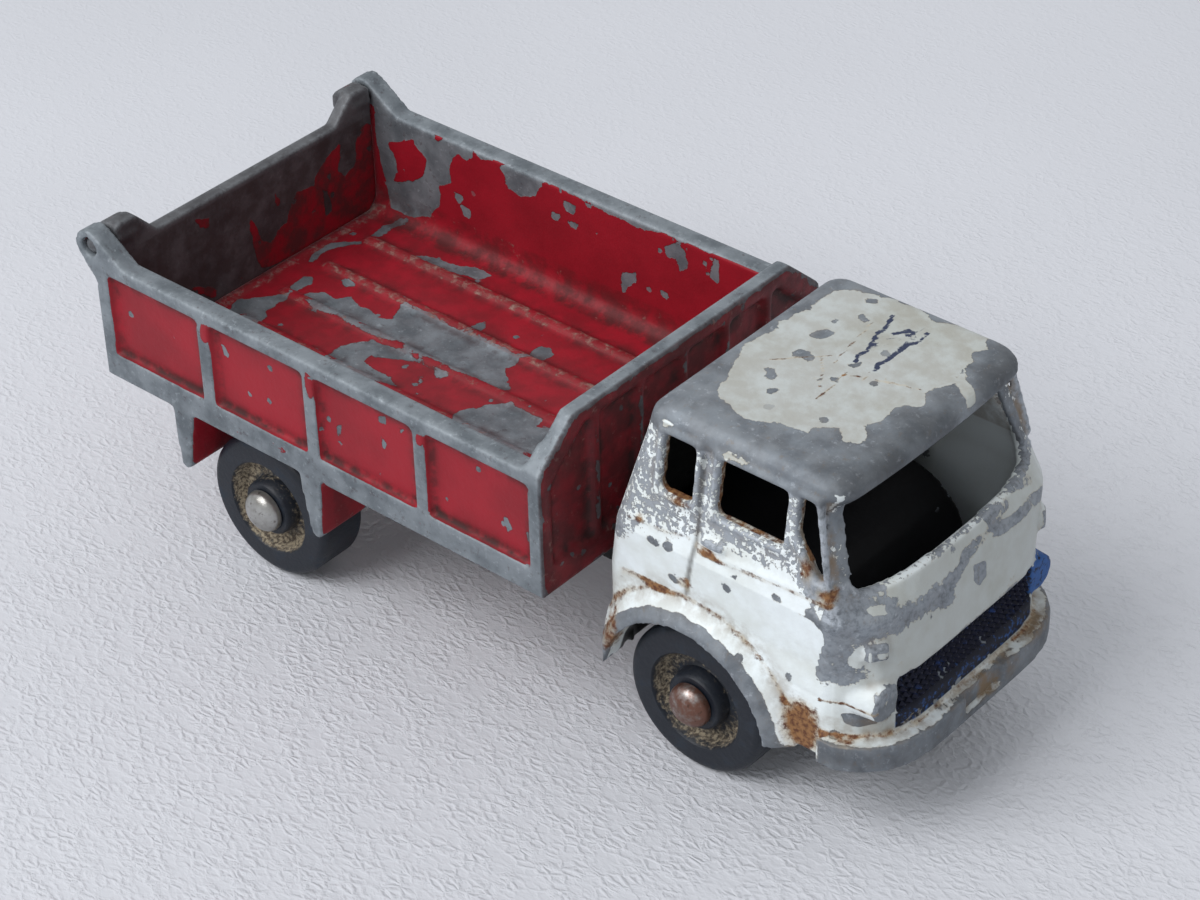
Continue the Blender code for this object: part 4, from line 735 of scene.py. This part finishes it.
# painted shade: dark inside the cab, more so towards its rear, on and under the visor, on the bumper and most at its
# foot, and in the shut line
gloom = inside * (0.24 + 0.9 * unit((21.5 - x) / 3)) + 0.6 * groove
gloom += 0.4 * (~inside & (z > 23.7)) * unit((x - 24.5) / 3) * unit(-roofEdge)
gloom += bumper * (0.18 + 0.35 * unit((7.4 - z) / 1.6) * unit((y + 7) / 4))
# painted shade: the nose's paint is greyer the more it faces forward
dull = ((ahead > -0.6) & (x > 28) & ~blue) * np.clip(nx * 1.5 - 0.4, 0.2, 0.95)
dirt = 0.9 * unit(-bend * 26) + 0.5 * jamb + 0.3 * bumperLid + 0.3 * groove + 0.07 * ~inside
dirt += 0.16 * (roof & (nz > 0.8) & (roofEdge > 0)) + 0.25 * ((z < 9.5) & (x > 26) & ~bumper)
dirt += 0.3 * flank * band(fromAxle, 7.4, 9.2, 0.8) + bumper * patches(p, cab["caked"])
rust = patches(p, cab["rustSpots"]) + 0.48 * (jamb & (x < 26.2) & (y < 0)) + 0.25 * unit(-bend * 22)
for line, amount in (("belt", 0.36), ("beltRear", 0.3)):
    rust += amount * flank * nearLine(x, z + 0.2, cab[line], 0.2)
rust += flank * (0.1 * groove * (z < 19.5) + 0.36 * band(fromAxle, 7.95, 8.4, 0.3) * (z > 9))
rust += 0.24 * band(z, 8.1, 8.5, 0.3) * between(ahead, -0.3, 0.3) * (x > 27) + 0.1 * bumperLid
rust += 0.5 * nearLine(y, z, cab["creaseRust"], 0.15) * (x > 27)
for stroke in cab["scratches"]:
    rust += 0.42 * onTop * nearLine(x, y, stroke, 0.1)
ink = np.zeros(len(x))
for strokes, amount, width in (("strokes", 0.72, 0.24), ("hatch", 0.56, 0.12)):
    for stroke in cab[strokes]:
        ink = np.maximum(ink, amount * nearLine(x, y, stroke, width))
# paler blue on the far lamp, partly a painted highlight, and a painted highlight along the ledge's lower edge
setAttributes(
    body, wear=np.where(blue, 0.1 + 0.16 * ledge, wear), rust=np.where(inside & ~jamb, 0, rust), dirt=dirt * ~blue,
    gloom=gloom, dull=dull + 0.9 * (roof & (nz > 0.5)), ink=ink * onTop, second=1.0 * blue,
    bright=0.28 * farLamp + 0.1 * ledge * (z < cab["ledgeLit"]) - 0.06 * grille,
    edge=np.clip(bend * 8, 0, 0.8) + 0.55 * upperSide * (above > -1) * (z < 24.4) + 0.3 * face,
    speck=upperSide * band(above, -0.6, 9, 1.0) * (z < 24.6) + 0.6 * pillar + 0.4 * face * (patch > -0.6))
body.data.materials.append(chippedPaint("whiteEnamel", cab))
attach(body, "chassis")
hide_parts("cab")
print("stage: cab", len(body.data.polygons))

# grille studs, set out by rule on the bowed nose
studs = {
    "columns": 26, "rows": 5, "width": 13.4, "height": 2.3, "size": 0.27, "tip": 0.25, "tall": 1.1,
    "midZ": 10.9, "noseX": 30.72, "bow": 3.8, "bowHalf": 10, "bowPower": 6,
    "blue": rgb(16, 20, 44), "blueWorn": rgb(40, 74, 138), "blueDark": rgb(16, 18, 28),
}


def grilleNodes():
    group = bpy.data.node_groups.new("grilleStuds", "GeometryNodeTree")
    group.interface.new_socket("Geometry", in_out="OUTPUT", socket_type="NodeSocketGeometry")
    for label, kind in (("Columns", "NodeSocketInt"), ("Rows", "NodeSocketInt"), ("Width", "NodeSocketFloat"),
                        ("Height", "NodeSocketFloat"), ("Size", "NodeSocketFloat"), ("Bow", "NodeSocketFloat"),
                        ("Material", "NodeSocketMaterial")):
        group.interface.new_socket(label, in_out="INPUT", socket_type=kind)
    add, link = group.nodes.new, group.links.new
    given, out = add("NodeGroupInput"), add("NodeGroupOutput")

    def calc(operation, a, b=0.0):
        node = add("ShaderNodeMath")
        node.operation = operation
        for socket, value in zip(node.inputs, (a, b)):
            if isinstance(value, (int, float)):
                socket.default_value = value
            else:
                link(value, socket)
        return node.outputs[0]

    grid = add("GeometryNodeMeshGrid")
    for way, size, count in (("X", "Width", "Columns"), ("Y", "Height", "Rows")):
        link(given.outputs[size], grid.inputs["Size " + way])
        link(given.outputs[count], grid.inputs["Vertices " + way])
    spot = add("ShaderNodeSeparateXYZ")
    link(add("GeometryNodeInputPosition").outputs[0], spot.inputs[0])
    odd = calc("MODULO", calc("MODULO", add("GeometryNodeInputIndex").outputs[0], given.outputs["Rows"]), 2)
    pitch = calc("DIVIDE", given.outputs["Width"], given.outputs["Columns"])
    across = calc("ADD", spot.outputs[0], calc("MULTIPLY", calc("SUBTRACT", odd, 0.5), calc("MULTIPLY", pitch, 0.5)))
    share = calc("POWER", calc("DIVIDE", calc("ABSOLUTE", across), studs["bowHalf"] * mm), studs["bowPower"])
    ahead = calc("SUBTRACT", studs["noseX"] * mm, calc("MULTIPLY", given.outputs["Bow"], share))
    joined = add("ShaderNodeCombineXYZ")
    link(ahead, joined.inputs[0])
    link(across, joined.inputs[1])
    link(calc("ADD", spot.outputs[1], studs["midZ"] * mm), joined.inputs[2])
    moved = add("GeometryNodeSetPosition")
    link(grid.outputs["Mesh"], moved.inputs["Geometry"])
    link(joined.outputs[0], moved.inputs["Position"])
    stud = add("GeometryNodeMeshCone")
    stud.inputs["Vertices"].default_value = 4
    link(given.outputs["Size"], stud.inputs["Radius Bottom"])
    link(calc("MULTIPLY", given.outputs["Size"], studs["tip"]), stud.inputs["Radius Top"])
    link(calc("MULTIPLY", given.outputs["Size"], studs["tall"]), stud.inputs["Depth"])
    each = add("GeometryNodeInstanceOnPoints")
    link(moved.outputs[0], each.inputs["Points"])
    link(stud.outputs["Mesh"], each.inputs["Instance"])
    each.inputs["Rotation"].default_value = (0, math.radians(90), 0)
    real, paint = add("GeometryNodeRealizeInstances"), add("GeometryNodeSetMaterial")
    link(each.outputs[0], real.inputs[0])
    link(real.outputs[0], paint.inputs["Geometry"])
    link(given.outputs["Material"], paint.inputs["Material"])
    link(paint.outputs[0], out.inputs[0])
    return group


def bluePaint():
    g = Graph("blueEnamel")
    worn = g.ramp(g.noise(900, 6, 0.65), 0.58, 0.78)
    colour = g.mix(worn, studs["blue"], studs["blueWorn"])
    colour = g.mix(g.ramp(g.noise(2600, 4, 0.6), 0.56, 0.66), colour, studs["blueDark"])
    normal = g.bump(g.noise(4200, 4), 0.00004, 0.5)
    return g.finish(colour, g.ramp(worn, 0, 1, 0.4, 0.55), normal, 0.0, 0.25)


def geometryPiece(name, group, values):
    holder = placed(name, bpy.data.meshes.new(name))
    step = holder.modifiers.new("build", "NODES")
    step.node_group = group
    for item in group.interface.items_tree:
        if item.in_out == "INPUT" and item.name in values:
            step[item.identifier] = values[item.name]
    holder.data.update()
    mesh = built(holder)
    holder.modifiers.clear()
    holder.data = mesh
    return holder


mesh = geometryPiece("grilleStuds", grilleNodes(), {
    "Columns": studs["columns"], "Rows": studs["rows"],
    "Width": studs["width"] * mm, "Height": studs["height"] * mm,
    "Size": studs["size"] * mm, "Bow": studs["bow"] * mm, "Material": bluePaint()})
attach(mesh, "chassis")
print("stage: grille studs", len(mesh.data.polygons))

# chassis
base = dict(
    bed, grainSize=0.0003, spots=0.985, chipScale=900, paint=rgb(12, 12, 14), faded=rgb(18, 18, 21),
    grime=rgb(46, 40, 36), rimColour=rgb(24, 23, 23), gloss=0.5, specular=0.15)
pan = castCopy("chassisCasting", "chassis", base)
bend = bendOf(pan.data)
setAttributes(pan, wear=np.clip(bend * 14, 0, 0.5), dirt=0.7 * unit(-bend * 20), rust=np.zeros(len(bend)))
pan.data.materials.append(chippedPaint("blackEnamel", base))
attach(pan, "chassis")
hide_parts("chassis")
print("stage: chassis")

# wheels and axle heads
wheel = {
    "radius": 5.26, "width": 3.9, "rim": 3.4, "collar": 2.0, "bore": 0.9, "recess": 1.1, "round": 0.6,
    "collarStand": 0.1, "hubStand": 0.3, "axleZ": 5.26,
    "frontX": 17.5, "frontFace": 9.9, "frontDust": 0.36, "rearX": -17.4, "rearFace": 12.4, "rearDust": 0.5,
    "rubber": rgb(20, 26, 36), "rubberWorn": rgb(44, 52, 63), "dust": rgb(168, 156, 134), "dustDark": rgb(84, 74, 64),
}
head = {
    "radius": 1.5, "height": 0.9, "edge": 0.2, "wire": 0.8, "seat": 0.2,
    "steel": rgb(176, 176, 174), "steelDark": rgb(140, 138, 134), "brown": rgb(116, 82, 70), "pit": rgb(64, 50, 44),
}


def wheelProfile():
    width, edge, bore = wheel["width"], wheel["round"], wheel["bore"]
    collar, stand, rim, deep = wheel["collar"], wheel["collarStand"], wheel["rim"], wheel["recess"]
    corner = [math.radians(90 - 15 * step) for step in range(7)]
    tread = [(wheel["radius"] - edge + edge * math.cos(a), -edge + edge * math.sin(a)) for a in corner]
    face = [
        (bore, stand), (collar - 0.15, stand), (collar, stand - 0.15), (collar + 0.1, 0.15 - deep),
        (collar + 0.3, -deep), (rim - 0.35, -deep), (rim - 0.15, 0.2 - deep), (rim - 0.05, -0.15), (rim + 0.1, 0),
    ]
    back = [(radius, -width - out) for radius, out in reversed(face[3:] + tread)]
    hub = [(collar, -width - wheel["hubStand"]), (bore, -width - wheel["hubStand"])]
    return face + tread + back + hub


def rubberLook():
    g = Graph("wheelPlastic")
    scuff = g.ramp(g.noise(700, 7, 0.65), 0.5, 0.72)
    colour = g.mix(scuff, wheel["rubber"], wheel["rubberWorn"])
    grit = g.maths("MULTIPLY", g.noise(2700, 7, 0.72), 1.3)
    caked = g.ramp(g.maths("ADD", g.attribute("dust"), grit), 0.98, 1.34)
    soil = g.mix(g.ramp(g.noise(4200, 5, 0.65), 0.4, 0.6), wheel["dustDark"], wheel["dust"])
    colour = g.mix(caked, colour, soil)
    rough = g.ramp(g.maths("MAXIMUM", caked, scuff), 0, 1, 0.48, 0.8)
    return g.finish(colour, rough, g.bump(g.noise(2400, 6, 0.65), 0.00008, 0.5), 0.0, 0.4)


def steelLook(name, stained):
    g = Graph(name)
    stain = g.ramp(g.noise(900, 6, 0.62), 0.64 - 0.4 * stained, 0.84 - 0.3 * stained)
    colour = g.mix(g.ramp(g.noise(600, 4, 0.6), 0.35, 0.65), head["steel"], head["steelDark"])
    colour = g.mix(stain, colour, head["brown"])
    colour = g.mix(g.ramp(g.noise(2700, 5, 0.6), 0.57, 0.68, 0, 0.6), colour, head["pit"])
    return g.finish(colour, g.ramp(stain, 0, 1, 0.3, 0.42), g.bump(g.noise(2600, 5, 0.6), 0.00005, 0.5), 0.75)


rubber = rubberLook()
profile = wheelProfile()
for end in ("front", "rear"):
    for label, way in (("left", 1), ("right", -1)):
        centre = (wheel[end + "X"], way * wheel[end + "Face"], wheel["axleZ"])
        piece = turned(f"{end}{label.title()}Tyre", profile, centre, way, closed=True)
        p = readPoints(piece.data) / mm
        out = np.hypot(p[:, 0] - centre[0], p[:, 2] - centre[2])
        dust = wheel[end + "Dust"] * band(out, wheel["collar"], wheel["rim"], 0.3)
        setAttributes(piece, dust=dust + 0.24 * band(out, 2.9, 3.45, 0.3) + 0.08 * band(out, 3.5, 5.4, 0.6))
        piece.data.materials.append(rubber)
        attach(piece, f"{end}_{label}_wheel")
        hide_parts(f"{end}_{label}_wheel")
for end, stained in (("front", 1.0), ("rear", 0.1)):
    seat = wheel[end + "Face"] + head["seat"]
    dome = [(0, seat + head["edge"] + head["height"])]
    for step in range(1, 11):
        angle = math.radians(9 * step)
        dome.append((head["radius"] * math.sin(angle), seat + head["edge"] + head["height"] * math.cos(angle)))
    dome += [(head["radius"], seat), (head["wire"], seat)]
    whole = dome + [(r, -d) for r, d in reversed(dome)]
    piece = turned(f"{end}AxleRivet", whole, (wheel[end + "X"], 0, wheel["axleZ"]), 1, 48)
    piece.data.materials.append(steelLook(f"{end}AxleSteel", stained))
    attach(piece, "chassis")
    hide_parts(f"{end}_axle")
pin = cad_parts["bed_hinge_pin"]
pin.data.materials.clear()
pin.data.materials.append(steelLook("hingePinSteel", 0.4))
print("stage: wheels and axles")

# table top, light and camera
table = {
    "size": 3.0, "colour": rgb(216, 218, 224), "shade": rgb(208, 210, 216),
    "cells": 1080, "ridge": 0.34, "relief": 0.00017, "stretch": (1.0, 1.6, 1.0), "turn": 0.9,
    "rubTurn": -41, "rubFrom": -0.02, "rubTo": 0.07, "rubLeft": 0.3,
}
plane = bpy.data.meshes.new("tableTop")
half = table["size"]
plane.from_pydata([(-half, -half, 0), (half, -half, 0), (half, half, 0), (-half, half, 0)], [], [(0, 1, 2, 3)])
top = placed("tableTop", plane)
g = Graph("embossedTable")
skew = g.wander(g.stretch(table["stretch"], (0, 0, table["turn"])), 1100, 0.0008)
edges = g.cells(table["cells"], "DISTANCE_TO_EDGE", skew).outputs["Distance"]
broken = g.ramp(g.noise(500, 4, 0.6, skew), 0.34, 0.66, 0.15, 1)
hide = g.maths("MULTIPLY", g.ramp(edges, table["ridge"], 0.0), broken)
hide = g.maths("ADD", hide, g.maths("MULTIPLY", g.noise(1500, 3, 0.5, skew), 0.35))
# the far part is rubbed smoother
along = g.stretch((1, 1, 1), (0, 0, math.radians(table["rubTurn"])))
reach = g.add("SeparateXYZ", {0: along}).outputs[1]
hide = g.maths("MULTIPLY", hide, g.ramp(reach, table["rubFrom"], table["rubTo"], 1.0, table["rubLeft"]))
tint = g.mix(g.ramp(g.noise(9, 3), 0.3, 0.7), table["colour"], table["shade"])
top.data.materials.append(g.finish(tint, 0.45, g.bump(hide, table["relief"], 0.5), 0.0, 0.4))

light = {
    "world": 0.66, "behind": 1.05, "ahead": 0.8, "sky": (0.95, 0.97, 1.0, 1),
    "key": 2.0, "keyFrom": (-0.13, -0.345, 0.42), "keySize": 0.36,
}
world = bpy.data.worlds.new("roomLight")
bpy.context.scene.world = world
world.use_nodes = True
nodes, link = world.node_tree.nodes, world.node_tree.links.new
glow = nodes["Background"]
glow.inputs["Color"].default_value = light["sky"]
# the room is darker ahead of the truck than behind it
aim, split, fade = [nodes.new("ShaderNode" + kind) for kind in ("TexCoord", "SeparateXYZ", "MapRange")]
fade.inputs["From Min"].default_value = -1
fade.inputs["To Min"].default_value = light["world"] * light["behind"]
fade.inputs["To Max"].default_value = light["world"] * light["ahead"]
link(aim.outputs["Generated"], split.inputs[0])
link(split.outputs[0], fade.inputs["Value"])
link(fade.outputs[0], glow.inputs["Strength"])
lampData = bpy.data.lights.new("windowLight", "AREA")
lampData.shape = "SQUARE"
lampData.size = light["keySize"]
lampData.energy = light["key"]
lamp = placed("windowLight", lampData)
lamp.location = light["keyFrom"]
lamp.rotation_mode = "QUATERNION"
lamp.rotation_quaternion = (-Vector(light["keyFrom"])).to_track_quat("-Z", "Y")

shot = {
    "target": (1.6, 0, 11.71), "azimuth": 41.26, "elevation": 35.89, "roll": -1.46,
    "distance": 204.86, "lens": 94.08, "sensor": 36, "nearest": 0.01,
}
turn, rise = math.radians(shot["azimuth"]), math.radians(shot["elevation"])
back = Vector((math.sin(turn) * math.cos(rise), -math.cos(turn) * math.cos(rise), math.sin(rise)))
lens = bpy.data.cameras.new("photoCamera")
lens.lens = shot["lens"]
lens.sensor_width = shot["sensor"]
lens.clip_start = shot["nearest"]
camera = placed("photoCamera", lens)
camera.location = (Vector(shot["target"]) + back * shot["distance"]) * mm
camera.rotation_mode = "QUATERNION"
camera.rotation_quaternion = (-back).to_track_quat("-Z", "Y") @ Quaternion((0, 0, 1), math.radians(shot["roll"]))
bpy.context.scene.camera = camera
bpy.context.scene.view_settings.view_transform = "Standard"
print("stage: table, light and camera")
